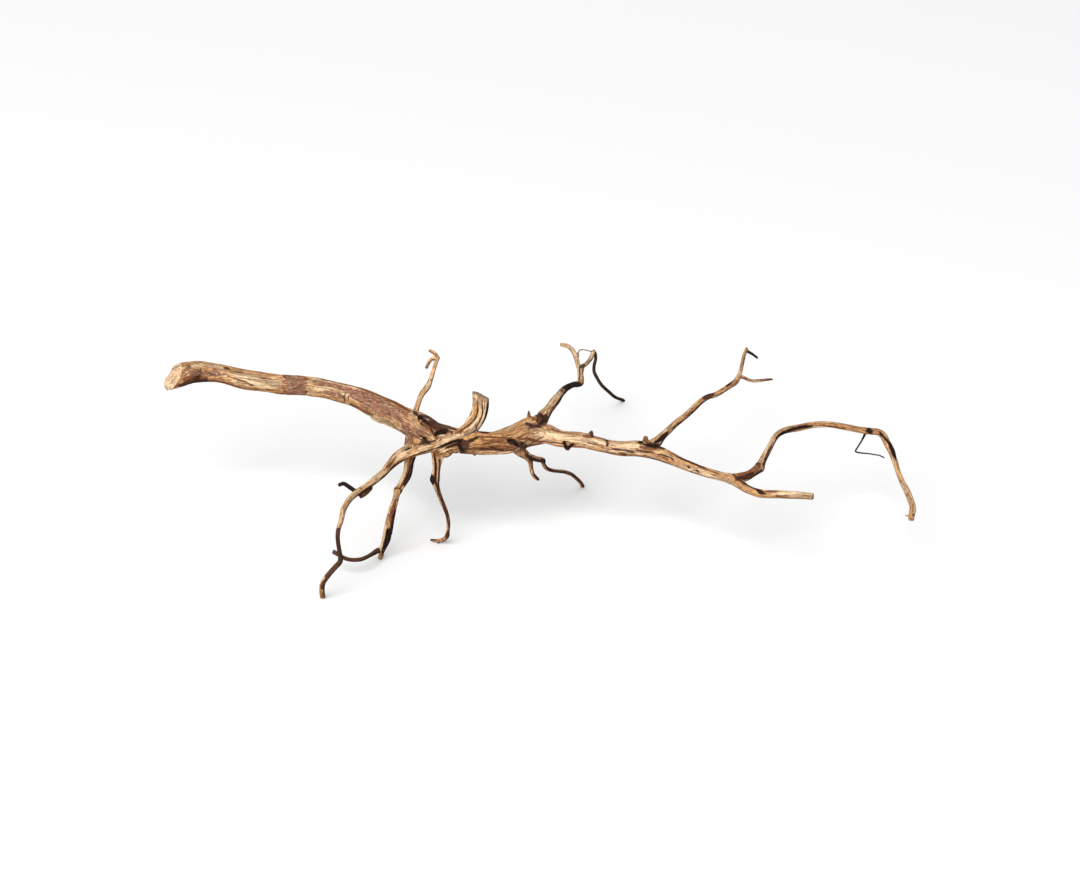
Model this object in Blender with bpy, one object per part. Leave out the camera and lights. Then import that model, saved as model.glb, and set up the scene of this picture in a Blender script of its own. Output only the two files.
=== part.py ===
"""A bare, weathered branch that stands on its own roots.

Everything grew as one piece, so the model is one solid: a thick trunk with a sawn end, a knotty
junction, roots that reach the floor, and side branches. Each limb is a round section swept along
a smooth route, and its route is a list of points chosen by hand. The limbs are roughened, sawn
or broken off, joined, and set on the floor.

Places and radii are in millimetres here and become metres when a limb is made. +X runs along
the trunk towards the arch, +Y is the back and +Z is up.
"""

import math

import bmesh
import bpy
from mathutils import Vector, noise

MM = 0.001
NAME = "snake_wood"

BARE_WOOD = (0.52, 0.33, 0.18, 1)
WOOD_ROUGHNESS = 0.78

# Each limb is a route of (x, y, z, radius), from its root outwards. A root starts inside the
# limb that it grows from.

TRUNK = (
    (-384, -30, 156, 12), (-368, -18, 154, 12), (-356, -9, 153, 11.5), (-341.5, 2, 148.5, 10.5),
    (-321, 0, 147.5, 8.9), (-291, -7, 144.5, 9.7), (-261, -9.5, 141, 10),
    (-231, -6, 136.5, 9.6), (-201, -9, 131, 9.7), (-181, -15.5, 128, 10.6),
    (-161, -32, 126.5, 12), (-141, -48.5, 125, 12.4), (-121, -66.5, 123.5, 13.5),
    (-103, -83, 122.5, 13), (-76, -91, 121, 12), (-51, -91, 120, 11.6), (-31, -84, 118, 12.2),
    (-13, -69, 117, 11.5), (4, -64, 115.5, 10), (19, -72, 114.5, 8.4), (39, -69, 111, 7.8),
    (59, -73, 108, 6.9), (79, -74, 104, 7.3), (99, -68.5, 100.5, 8.1), (118.5, -75, 98, 7),
    (138.5, -87, 95.5, 5.8), (158.5, -101, 94.5, 4.9), (178.5, -113, 94.5, 4.5),
    (192, -120, 94.5, 5.5), (205, -138, 94.5, 4.2), (218.5, -148, 95, 4.1),
    (237, -150.5, 95.5, 3.9), (257, -153, 96, 3.8), (270, -157, 97, 3.5),
)

UPRIGHT = (
    (-126, -45, 120, 4.5), (-125, -42, 128, 3), (-120, -29, 138.5, 2.7), (-113.5, -23, 146, 3.2),
    (-110.5, -18.5, 151, 2.4), (-105.5, -9, 164, 2.2), (-103, -4.5, 169.5, 2.4),
)
UPRIGHT_TIP = ((-103, -6, 169, 2.2), (-106.5, -1.5, 172, 2.1), (-112, 2, 173.6, 1.9))
UPRIGHT_HOOK = (
    (-104, -6, 168, 2.1), (-109, -5.5, 168, 2), (-112, -6, 164.5, 1.9), (-115, -5.5, 157, 1.6),
)

STUB = (
    (-99, -97, 125.5, 3.8), (-89, -95.5, 127.8, 4.8), (-79, -92, 131, 6.6), (-71, -86, 134.5, 8),
    (-64.5, -79, 140.9, 8.6), (-61, -71, 148.4, 8.6), (-60.5, -65, 155.3, 8.4),
    (-60.5, -60, 162, 8.2), (-60.5, -56, 168, 8.2),
)

FRONT_ROOT = (
    (-70, -89, 132, 3.2), (-81, -97, 129.7, 3.6), (-91, -100.5, 127.3, 3.8),
    (-101, -98.5, 121.5, 3.9), (-111, -94.5, 115.5, 4), (-130.5, -97, 111, 4.1),
    (-145.5, -107, 107.6, 4), (-159.5, -134.5, 108, 3.8), (-169.5, -148, 106.5, 3.8),
    (-181, -163.5, 106.5, 3.5), (-190, -180, 106.5, 3.2), (-195.5, -196, 104.5, 2.9),
    (-197.5, -206.5, 99, 2.6), (-200.5, -211, 90, 2.5), (-201, -210, 78, 2.3),
    (-199.5, -203, 60, 2.4), (-199, -198, 47, 2.6), (-204.5, -196.5, 38.5, 2.6),
    (-211.5, -199.5, 31, 2.8), (-216.5, -199, 22, 2.8), (-217.5, -196, 12, 2.7),
    (-217, -191, 3, 2.6), (-217, -189.5, -2, 2.6),
)
FRONT_STRAND = (
    (-132, -80, 110.3, 3), (-138, -92, 112.4, 2.8), (-145, -101.5, 112.2, 2.6),
    (-151, -115, 112, 2.4), (-156, -127, 111.5, 1.8),
)
FRONT_LUMP = ((-169.5, -147, 101.6, 3.3), (-174.5, -156, 101, 3.3), (-180, -160.5, 99, 2.8))
FRONT_SPUR = (
    (-178.5, -159, 101.2, 2.6), (-185.5, -150, 100, 2.3), (-191.5, -148, 103.5, 2.2),
    (-196, -146, 105.5, 2.1), (-200.5, -141, 101, 2),
)

SPINE_RIDGE = (
    (-127, -49, 124, 3.2), (-126, -62, 131, 4), (-122, -73, 131, 4.2), (-115.5, -80, 129.5, 4),
    (-110, -86, 127, 4), (-108, -90, 121.5, 4),
)

SPLIT_ROOT = (
    (-124, -66, 120, 9), (-128, -73, 112, 8), (-129.5, -80, 105, 6.3), (-131.5, -88, 98.5, 5),
    (-133.5, -97, 88, 4.6), (-138.5, -103.5, 80, 4), (-142.5, -106, 74, 3.5),
    (-145, -109.5, 65, 3.3), (-148, -112, 55, 3.8), (-150.5, -115, 45, 4.2),
    (-152.5, -117.5, 35, 4.5), (-154.5, -119.5, 24.5, 4.5), (-158, -119, 14, 3.6),
    (-161, -116, 1.6, 2.4),
)
SPLIT_TWIG = (
    (-160, -118.5, 13, 2.5), (-164, -122.5, 13.5, 2.7), (-169, -131, 15, 2.3),
    (-174.5, -141, 17.5, 2.2), (-180.5, -147.5, 19, 2.2), (-188.5, -150, 20, 2.1),
    (-195, -149, 21, 2.1), (-199.5, -147, 22.5, 2.1), (-203.5, -145.5, 24.5, 2.4),
    (-207.5, -145, 26.5, 2.4),
)

TOE_ROOT = (
    (-101, -90, 117, 9), (-102.5, -94, 109, 6.8), (-103.5, -96, 102, 5.2),
    (-104, -98.5, 95.5, 3.9), (-105.5, -102, 85, 4.2), (-103.5, -104.5, 76, 2.7),
    (-100.5, -103.5, 65, 2.3), (-97, -102.5, 54, 2.2), (-94, -101, 44, 2), (-92.5, -98, 33, 1.9),
    (-93, -95, 22, 1.9), (-94, -90, 12, 2.3), (-98, -85, 4.6, 2.2), (-103, -83, 2.7, 1.8),
    (-107.5, -82, 2.2, 1.4), (-111, -81, 2.6, 1.1),
)
TOE_HEEL = ((-98, -85, 4.6, 1.8), (-101.5, -84.5, 3, 1.6), (-103.5, -86, 1.3, 0.9))

FORK_ROOT = (
    (-25, -79.5, 110, 7), (-20, -80, 104, 5.6), (-14, -77, 97, 4.1), (-11.5, -75, 92.5, 3.2),
)
FORK_SHORT = (
    (-14, -77, 96, 3.4), (-11, -75, 90, 2.6), (-10, -73, 81.5, 2.2), (-8.5, -72, 74, 2),
    (-5.5, -68, 67, 2), (-2.5, -64.5, 62.5, 1.6),
)
FORK_LONG = (
    (-14, -73.5, 95, 3.4), (-9, -70.5, 91.5, 3), (-3, -64.5, 86, 2.8), (2, -56.5, 80, 2.7),
    (2.5, -52, 73, 2.3), (6, -45, 64, 2.1), (12, -35, 56, 2), (18.5, -23, 48, 2),
    (24.5, -10.5, 40, 2), (30, 0, 31.5, 2), (35, 9.5, 21.5, 2), (39.5, 18.5, 11.5, 2),
    (41.5, 27, 2.5, 2.1), (42.5, 30.5, -2, 2.1),
)

BACK_BRANCH = (
    (-5, -56, 115, 10), (0, -40, 118.5, 7.2), (7, -21, 118, 5.2), (14, 2, 114.5, 4.6),
    (21, 27, 111, 3.6), (25.5, 41, 108, 3.3), (32, 53, 104.5, 2.9), (39.5, 63, 101, 3.4),
    (40, 78.5, 101, 3), (38.5, 91, 102.5, 2.5), (36.5, 104, 102.5, 2.5), (34.5, 116, 103.5, 2.4),
    (31, 126, 104.5, 2.3), (26, 127, 108, 2.2), (19.5, 126, 110, 2),
)
SHOULDER_RISE = (
    (-46, -84, 119.5, 8), (-34, -77, 121, 7.6), (-22, -67, 122, 7.6), (-8, -54, 121, 8),
)
BACK_TWIG = (
    (40, 81, 101, 2.8), (42, 95.5, 101.5, 2.5), (45.5, 100, 102, 2.3), (50, 109.5, 102.5, 2.3),
    (52.5, 121, 102.5, 2.2), (54, 126, 103.5, 1.3),
)
BACK_DROP = (
    (52, 119.5, 102, 1.9), (54.5, 128, 99, 1.9), (55.5, 129, 92, 1.8), (54, 133, 81.5, 1.8),
    (54, 139, 70.5, 1.8), (57, 145.5, 59.5, 1.8), (62, 154, 46, 1.8), (68.5, 166.5, 32, 1.8),
    (74.5, 181.5, 17.5, 1.8), (79, 191, 9.5, 1.8), (83, 200.5, 2.5, 1.9), (85, 205, -2, 1.9),
)
BACK_WISP = (
    (36, 110.5, 103, 1.6), (37.5, 115.5, 106, 0.9), (39.5, 119, 107.5, 0.8),
    (44, 121, 106.5, 0.8), (48.5, 121.5, 105, 0.8), (53.5, 123, 103.5, 0.9),
)

SIDE_BRANCH = (
    (106.5, -66.5, 99, 7), (115.5, -57, 101, 5), (122, -43, 101, 3.7), (128, -32, 101, 3.4),
    (135, -17, 100, 3.3), (143.5, -4, 100, 3.1), (151.5, 11.5, 99, 3), (158, 24.5, 99, 3),
    (163.5, 33, 99, 2.9), (168.5, 38.5, 99, 2.7), (174.5, 43.5, 98, 2.6), (180, 49, 98, 2.6),
    (186, 56.5, 98, 2.6), (191.5, 63.5, 98, 2.8), (196, 69.5, 98, 2.9), (198.5, 75, 99, 2.7),
    (200.5, 84, 99, 2.3), (202, 92.5, 100, 2.1), (203.5, 104, 101, 1.9), (205, 117, 101, 1.9),
    (207, 125.5, 102, 1.8), (208, 131, 103, 1.6),
)
SIDE_TIP = ((207.5, 127.5, 102, 1.7), (213.5, 126, 99, 1.5), (219.5, 120.5, 97, 1.3))
SIDE_TWIG = (
    (199.5, 81, 98.5, 2), (205, 81, 97, 1.8), (209.5, 82.5, 93.5, 1.7), (215.5, 86.5, 90, 1.7),
    (222, 91, 88, 1.6), (228, 96, 86, 1.4), (234, 103, 82.5, 1.2),
)

ARCH = (
    (189.5, -118.5, 94.5, 5.4), (203.5, -114, 95.5, 4.8), (210.5, -109.5, 97, 4.4),
    (217.5, -100.5, 98, 4.7), (221, -90, 100, 3.7), (226, -76.5, 102.5, 3.3),
    (230.5, -62, 103.5, 3.1), (234.5, -51.5, 104.5, 3.1), (240, -42.5, 104.5, 3.3),
    (247, -37, 104.5, 3.4), (259, -33, 104.5, 3.4), (269.5, -28.5, 104.5, 3.2),
    (279.5, -26.5, 104.5, 3.1), (289.5, -27, 104.5, 3.1), (299.5, -28.5, 103.5, 3.1),
    (309.5, -30.5, 102.5, 3.1), (319.5, -31.5, 101, 3.1), (329.5, -32, 100, 3.4),
    (338, -34, 100, 3.4), (343, -40.5, 99, 3.7), (346.5, -52, 97, 3.7),
    (350.5, -64.5, 94.5, 3.5), (353.5, -79.5, 91.5, 3.1), (356, -93, 88, 2.8),
    (359.5, -105, 84.5, 2.9), (364.5, -118, 80.5, 3.3), (368, -128, 76, 3.3),
    (370, -136, 71.5, 3.4), (368.5, -143, 67.5, 3.3), (368, -148, 65.5, 3.2),
)
ARCH_WISP = (
    (325.5, -32.5, 99.5, 1.8), (321.5, -29.5, 88, 1.1), (317.5, -26, 78, 1),
    (315.5, -24, 71.5, 1), (322, -21, 68, 0.95), (328, -18.5, 66, 0.9), (334, -17, 64, 0.9),
    (340, -14.5, 61.5, 0.9), (345, -16, 59.5, 0.9),
)

# Broken twigs, thorns and knots are short limbs too.
SPINE = ((-11, -56, 123, 5), (-12, -52, 127, 2.4), (-12, -51, 131, 1.6), (-12, -50, 134, 0.8))
TOP_THORN = ((48, -69, 111, 5), (49.5, -66, 115, 3.2), (51, -63, 118.5, 1))
SHOULDER_STUB = ((104, -66, 103, 3.8), (104.5, -62, 106.5, 3.2), (105, -59, 109.5, 2))
LOWER_THORN = ((-66, -95, 114, 4), (-66, -97.5, 112, 2.4), (-66, -99.5, 110, 0.8))
LOWER_STUB = ((26, -74, 109, 5), (26.5, -77, 106.5, 3.4), (26.5, -79, 104.5, 1.5))
SIDE_STUB = ((81, -74, 100, 4.5), (82.5, -75, 98, 2.6), (83, -75, 96, 1))
ARCH_SPUR = ((369.5, -143, 68, 1.8), (366, -143.5, 67.3, 1.2), (362, -143, 67, 0.8))

# Knots are low swellings: (x, y, z) of the centre and the radius.
LOWER_KNOT = (-95, -96, 115.5, 7.5)
UPPER_KNOT = (-122, -76, 112.5, 8.6)
SHOULDER_KNOT = (-9, -57, 120, 9)
SHELF_KNOT = (-160, -37.5, 124, 10.5)
RING_KNOT = (-142.5, -106, 74, 4.6)
ELBOW_KNOT = (217.5, -101, 98, 5.4)
TOE_KNOT = (-106, -102, 85, 4.8)
WISP_KNOT = (37, 113.5, 104.5, 1.8)

# The trunk was sawn, and the stub broken off: a place on each cut and the way that it faces.
SAWN_AT = (-368, -18, 154)
SAWN_FACES = (-0.71, -0.25, 0.65)
BROKEN_AT = (-60, -58, 157)
BROKEN_FACES = (0.42, 0.33, 0.85)

TRUNK_RING_STEP = 9
LIMB_RING_STEP = 7.5
WISP_RING_STEP = 5


def clear_file():
    """Take out everything that the start-up file holds."""
    for thing in list(bpy.data.objects):
        bpy.data.objects.remove(thing, do_unlink=True)


def new_collection(name):
    group = bpy.data.collections.new(name)
    bpy.context.scene.collection.children.link(group)
    return group


def between(a, b, c, d, t):
    """The value at t from b to c of a smooth line through all four."""
    bend = (2 * a - 5 * b + 4 * c - d) * t * t + (3 * b - a - 3 * c + d) * t ** 3
    return 0.5 * (2 * b + (c - a) * t + bend)


def smooth_route(points, step):
    """Add rings between the hand-placed points, about one to each step."""
    ends = [points[0]] + list(points) + [points[-1]]
    route = []
    for a, b, c, d in zip(ends, ends[1:], ends[2:], ends[3:]):
        count = max(1, round(math.dist(b[:3], c[:3]) / step))
        for ring in range(count):
            t = ring / count
            route.append([between(*four, t) for four in zip(a, b, c, d)])
    route.append(list(points[-1]))
    return route


def sweep(name, points, sides, step):
    """A closed tube along the route, with its own radius at each ring."""
    route = smooth_route(points, step)
    curve = bpy.data.curves.new(name, "CURVE")
    curve.dimensions = "3D"
    curve.bevel_depth = 1
    curve.bevel_resolution = (sides - 4) // 2
    curve.use_fill_caps = True
    line = curve.splines.new("POLY")
    line.points.add(len(route) - 1)
    for point, (x, y, z, radius) in zip(line.points, route):
        point.co = (x * MM, y * MM, z * MM, 1)
        point.radius = radius * MM
    rope = bpy.data.objects.new(name, curve)
    bpy.context.scene.collection.objects.link(rope)
    mesh = bpy.data.meshes.new_from_object(rope.evaluated_get(bpy.context.evaluated_depsgraph_get()))
    bpy.data.objects.remove(rope, do_unlink=True)
    limb = bpy.data.objects.new(name, mesh)
    weld(mesh)
    return limb


def weld(mesh):
    """Join doubled corners and turn every face outwards."""
    work = bmesh.new()
    work.from_mesh(mesh)
    bmesh.ops.remove_doubles(work, verts=work.verts, dist=0.000005)
    bmesh.ops.recalc_face_normals(work, faces=work.faces)
    work.to_mesh(mesh)
    work.free()


def add_ridges(limb, depth, along, across):
    """Press long shallow flutes into a limb: the pattern is stretched along the limb."""
    mesh = limb.data
    moves = []
    for corner in mesh.vertices:
        place = corner.co / MM
        where = Vector((place.x / along, place.y / across, place.z / across))
        moves.append(corner.normal * noise.noise(where) * depth * MM)
    for corner, move in zip(mesh.vertices, moves):
        corner.co += move


def cut_flat(mesh, place, faces):
    """Cut away what lies past a plane and close the cut."""
    work = bmesh.new()
    work.from_mesh(mesh)
    everything = list(work.verts) + list(work.edges) + list(work.faces)
    cut = bmesh.ops.bisect_plane(
        work, geom=everything, dist=0.000002, plane_co=Vector(place) * MM,
        plane_no=Vector(faces), clear_outer=True,
    )
    rim = [part for part in cut["geom_cut"] if isinstance(part, bmesh.types.BMEdge)]
    bmesh.ops.holes_fill(work, edges=rim, sides=0)
    bmesh.ops.recalc_face_normals(work, faces=work.faces)
    work.to_mesh(mesh)
    work.free()


def add_limb(limbs, name, points, sides, depth=0.0, step=LIMB_RING_STEP):
    limb = sweep(name, points, sides, step)
    if depth:
        add_ridges(limb, depth, 14, 5)
    limbs.objects.link(limb)
    return limb


def add_knot(limbs, name, ball):
    x, y, z, radius = ball
    bpy.ops.mesh.primitive_ico_sphere_add(
        subdivisions=2, radius=radius * MM, location=(x * MM, y * MM, z * MM))
    knot = bpy.context.object
    knot.name = name
    bpy.ops.object.transform_apply(location=True, rotation=False, scale=False)
    bpy.context.collection.objects.unlink(knot)
    limbs.objects.link(knot)


def make_trunk():
    """The thick stem: fluted, sawn off at the left and blunt at the right."""
    trunk = sweep(NAME, TRUNK, 20, TRUNK_RING_STEP)
    add_ridges(trunk, 1.5, 60, 7)
    cut_flat(trunk.data, SAWN_AT, SAWN_FACES)
    return trunk


def add_upright(limbs):
    add_limb(limbs, "upright", UPRIGHT, 8)
    add_limb(limbs, "upright_tip", UPRIGHT_TIP, 8)
    add_limb(limbs, "upright_hook", UPRIGHT_HOOK, 8)


def add_stub(limbs):
    """A thick broken side stem that points up."""
    stub = add_limb(limbs, "stub", STUB, 16, depth=1.2)
    cut_flat(stub.data, BROKEN_AT, BROKEN_FACES)


def add_front_root(limbs):
    """The longest root: it reaches forward, turns down and stands on the floor."""
    add_limb(limbs, "front_root", FRONT_ROOT, 8, depth=0.5)
    add_limb(limbs, "front_strand", FRONT_STRAND, 8)
    add_limb(limbs, "front_lump", FRONT_LUMP, 8)
    add_limb(limbs, "front_spur", FRONT_SPUR, 8)


def add_split_root(limbs):
    """A knotty root with a twig that crosses to the front root."""
    add_limb(limbs, "split_root", SPLIT_ROOT, 12, depth=0.7)
    add_limb(limbs, "split_twig", SPLIT_TWIG, 8)
    add_knot(limbs, "ring_knot", RING_KNOT)


def add_toe_root(limbs):
    """A thin root that ends in a small foot."""
    add_limb(limbs, "toe_root", TOE_ROOT, 8)
    add_limb(limbs, "toe_heel", TOE_HEEL, 8)
    add_knot(limbs, "toe_knot", TOE_KNOT)


def add_fork(limbs):
    """A root that splits into a short tine and a long one that reaches the floor."""
    add_limb(limbs, "fork_root", FORK_ROOT, 12)
    add_limb(limbs, "fork_short", FORK_SHORT, 8)
    add_limb(limbs, "fork_long", FORK_LONG, 8)


def add_back_branch(limbs):
    """A branch to the back, with a twig that drops to the floor and a fine wisp."""
    add_limb(limbs, "back_branch", BACK_BRANCH, 12, depth=0.6)
    add_limb(limbs, "shoulder_rise", SHOULDER_RISE, 12)
    add_limb(limbs, "back_twig", BACK_TWIG, 8)
    add_limb(limbs, "back_drop", BACK_DROP, 8)
    add_limb(limbs, "back_wisp", BACK_WISP, 6, step=WISP_RING_STEP)
    add_limb(limbs, "spine", SPINE, 8)
    add_knot(limbs, "shoulder_knot", SHOULDER_KNOT)
    add_knot(limbs, "wisp_knot", WISP_KNOT)


def add_side_branch(limbs):
    add_limb(limbs, "side_branch", SIDE_BRANCH, 8, depth=0.4)
    add_limb(limbs, "side_tip", SIDE_TIP, 8)
    add_limb(limbs, "side_twig", SIDE_TWIG, 8)


def add_arch(limbs):
    """The arched branch at the right, with a fine wisp and a broken spur."""
    add_limb(limbs, "arch", ARCH, 8, depth=0.4)
    add_limb(limbs, "arch_wisp", ARCH_WISP, 6, step=WISP_RING_STEP)
    add_limb(limbs, "arch_spur", ARCH_SPUR, 6, step=WISP_RING_STEP)
    add_knot(limbs, "elbow_knot", ELBOW_KNOT)


def add_trunk_knots(limbs):
    add_limb(limbs, "spine_ridge", SPINE_RIDGE, 8)
    add_knot(limbs, "lower_knot", LOWER_KNOT)
    add_knot(limbs, "upper_knot", UPPER_KNOT)
    add_knot(limbs, "shelf_knot", SHELF_KNOT)


def add_thorns(limbs):
    add_limb(limbs, "top_thorn", TOP_THORN, 8)
    add_limb(limbs, "shoulder_stub", SHOULDER_STUB, 8)
    add_limb(limbs, "lower_thorn", LOWER_THORN, 8)
    add_limb(limbs, "lower_stub", LOWER_STUB, 8)
    add_limb(limbs, "side_stub", SIDE_STUB, 8)


def grow_together(trunk, limbs):
    """Join every limb to the trunk, so that the branch is one closed body."""
    join = trunk.modifiers.new("limbs", "BOOLEAN")
    join.operation = "UNION"
    join.operand_type = "COLLECTION"
    join.collection = limbs
    join.solver = "EXACT"
    join.use_self = True
    bpy.context.view_layer.objects.active = trunk
    bpy.ops.object.modifier_apply(modifier=join.name)
    for limb in list(limbs.objects):
        bpy.data.objects.remove(limb, do_unlink=True)
    bpy.data.collections.remove(limbs)
    weld(trunk.data)


def flatten_feet(trunk):
    """Cut the feet off at the floor, so that each stands on a small flat."""
    cut_flat(trunk.data, (0, 0, 0), (0, 0, -1))


def stand_at_origin(trunk):
    """Move the branch so that the middle of its box is over the origin."""
    places = [corner.co for corner in trunk.data.vertices]
    middle_x = (min(p.x for p in places) + max(p.x for p in places)) / 2
    middle_y = (min(p.y for p in places) + max(p.y for p in places)) / 2
    for corner in trunk.data.vertices:
        corner.co -= Vector((middle_x, middle_y, 0))


def wood_material():
    material = bpy.data.materials.new("bare_wood")
    material.use_nodes = True
    shader = material.node_tree.nodes["Principled BSDF"]
    shader.inputs["Base Color"].default_value = BARE_WOOD
    shader.inputs["Roughness"].default_value = WOOD_ROUGHNESS
    return material


def build():
    clear_file()
    branch = new_collection("snake wood")
    limbs = new_collection("limbs")
    trunk = make_trunk()
    branch.objects.link(trunk)
    add_upright(limbs)
    add_stub(limbs)
    add_front_root(limbs)
    add_split_root(limbs)
    add_toe_root(limbs)
    add_fork(limbs)
    add_back_branch(limbs)
    add_side_branch(limbs)
    add_arch(limbs)
    add_trunk_knots(limbs)
    add_thorns(limbs)
    grow_together(trunk, limbs)
    flatten_feet(trunk)
    stand_at_origin(trunk)
    trunk.data.materials.clear()
    trunk.data.materials.append(wood_material())
    trunk.data.shade_smooth()


build()
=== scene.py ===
"""A bare, weathered branch that stands on its own roots, on a plain white floor.

The branch grew as one piece and is modelled as one. Each limb is a tube along a given
route; the tubes are remeshed into one skin, so that every fork has a soft crotch, and the skin is
then worked: flutes and fibres along the grain, cracks, pits, worn hollows and torn bark. The
places below are in millimetres from the photograph's own reading of the branch, and HOME moves
them to the part's frame.
"""

import math

import bpy
import numpy as np
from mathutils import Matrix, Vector, kdtree, noise


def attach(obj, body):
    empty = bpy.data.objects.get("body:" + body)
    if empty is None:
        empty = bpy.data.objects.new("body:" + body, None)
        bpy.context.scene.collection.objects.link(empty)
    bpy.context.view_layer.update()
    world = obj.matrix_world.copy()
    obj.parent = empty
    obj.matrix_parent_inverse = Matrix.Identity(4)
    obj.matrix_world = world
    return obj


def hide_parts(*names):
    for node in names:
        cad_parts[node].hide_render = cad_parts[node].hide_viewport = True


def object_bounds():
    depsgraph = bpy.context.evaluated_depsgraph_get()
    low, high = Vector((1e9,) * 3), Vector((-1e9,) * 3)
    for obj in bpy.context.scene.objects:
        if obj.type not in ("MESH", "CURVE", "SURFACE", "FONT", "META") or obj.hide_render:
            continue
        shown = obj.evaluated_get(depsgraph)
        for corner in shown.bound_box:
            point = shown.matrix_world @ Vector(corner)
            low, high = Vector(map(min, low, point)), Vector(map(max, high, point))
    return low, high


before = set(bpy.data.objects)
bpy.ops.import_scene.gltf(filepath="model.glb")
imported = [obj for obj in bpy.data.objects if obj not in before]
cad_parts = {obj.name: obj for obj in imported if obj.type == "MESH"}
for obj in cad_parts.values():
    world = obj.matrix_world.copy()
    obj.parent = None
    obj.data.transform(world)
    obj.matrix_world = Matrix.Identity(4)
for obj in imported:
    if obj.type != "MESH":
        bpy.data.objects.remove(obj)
CAD_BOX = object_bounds()

bl_info = {
    "name": "Snake wood branch",
    "version": (1, 0, 0),
    "blender": (4, 5, 0),
    "location": "View3D > Sidebar > Snake wood",
    "description": "Models a weathered branch with bare, stained and barky wood",
    "category": "Add Mesh",
}

MM = 0.001
HOME = Vector((1.846, 3.954, 0))

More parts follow.
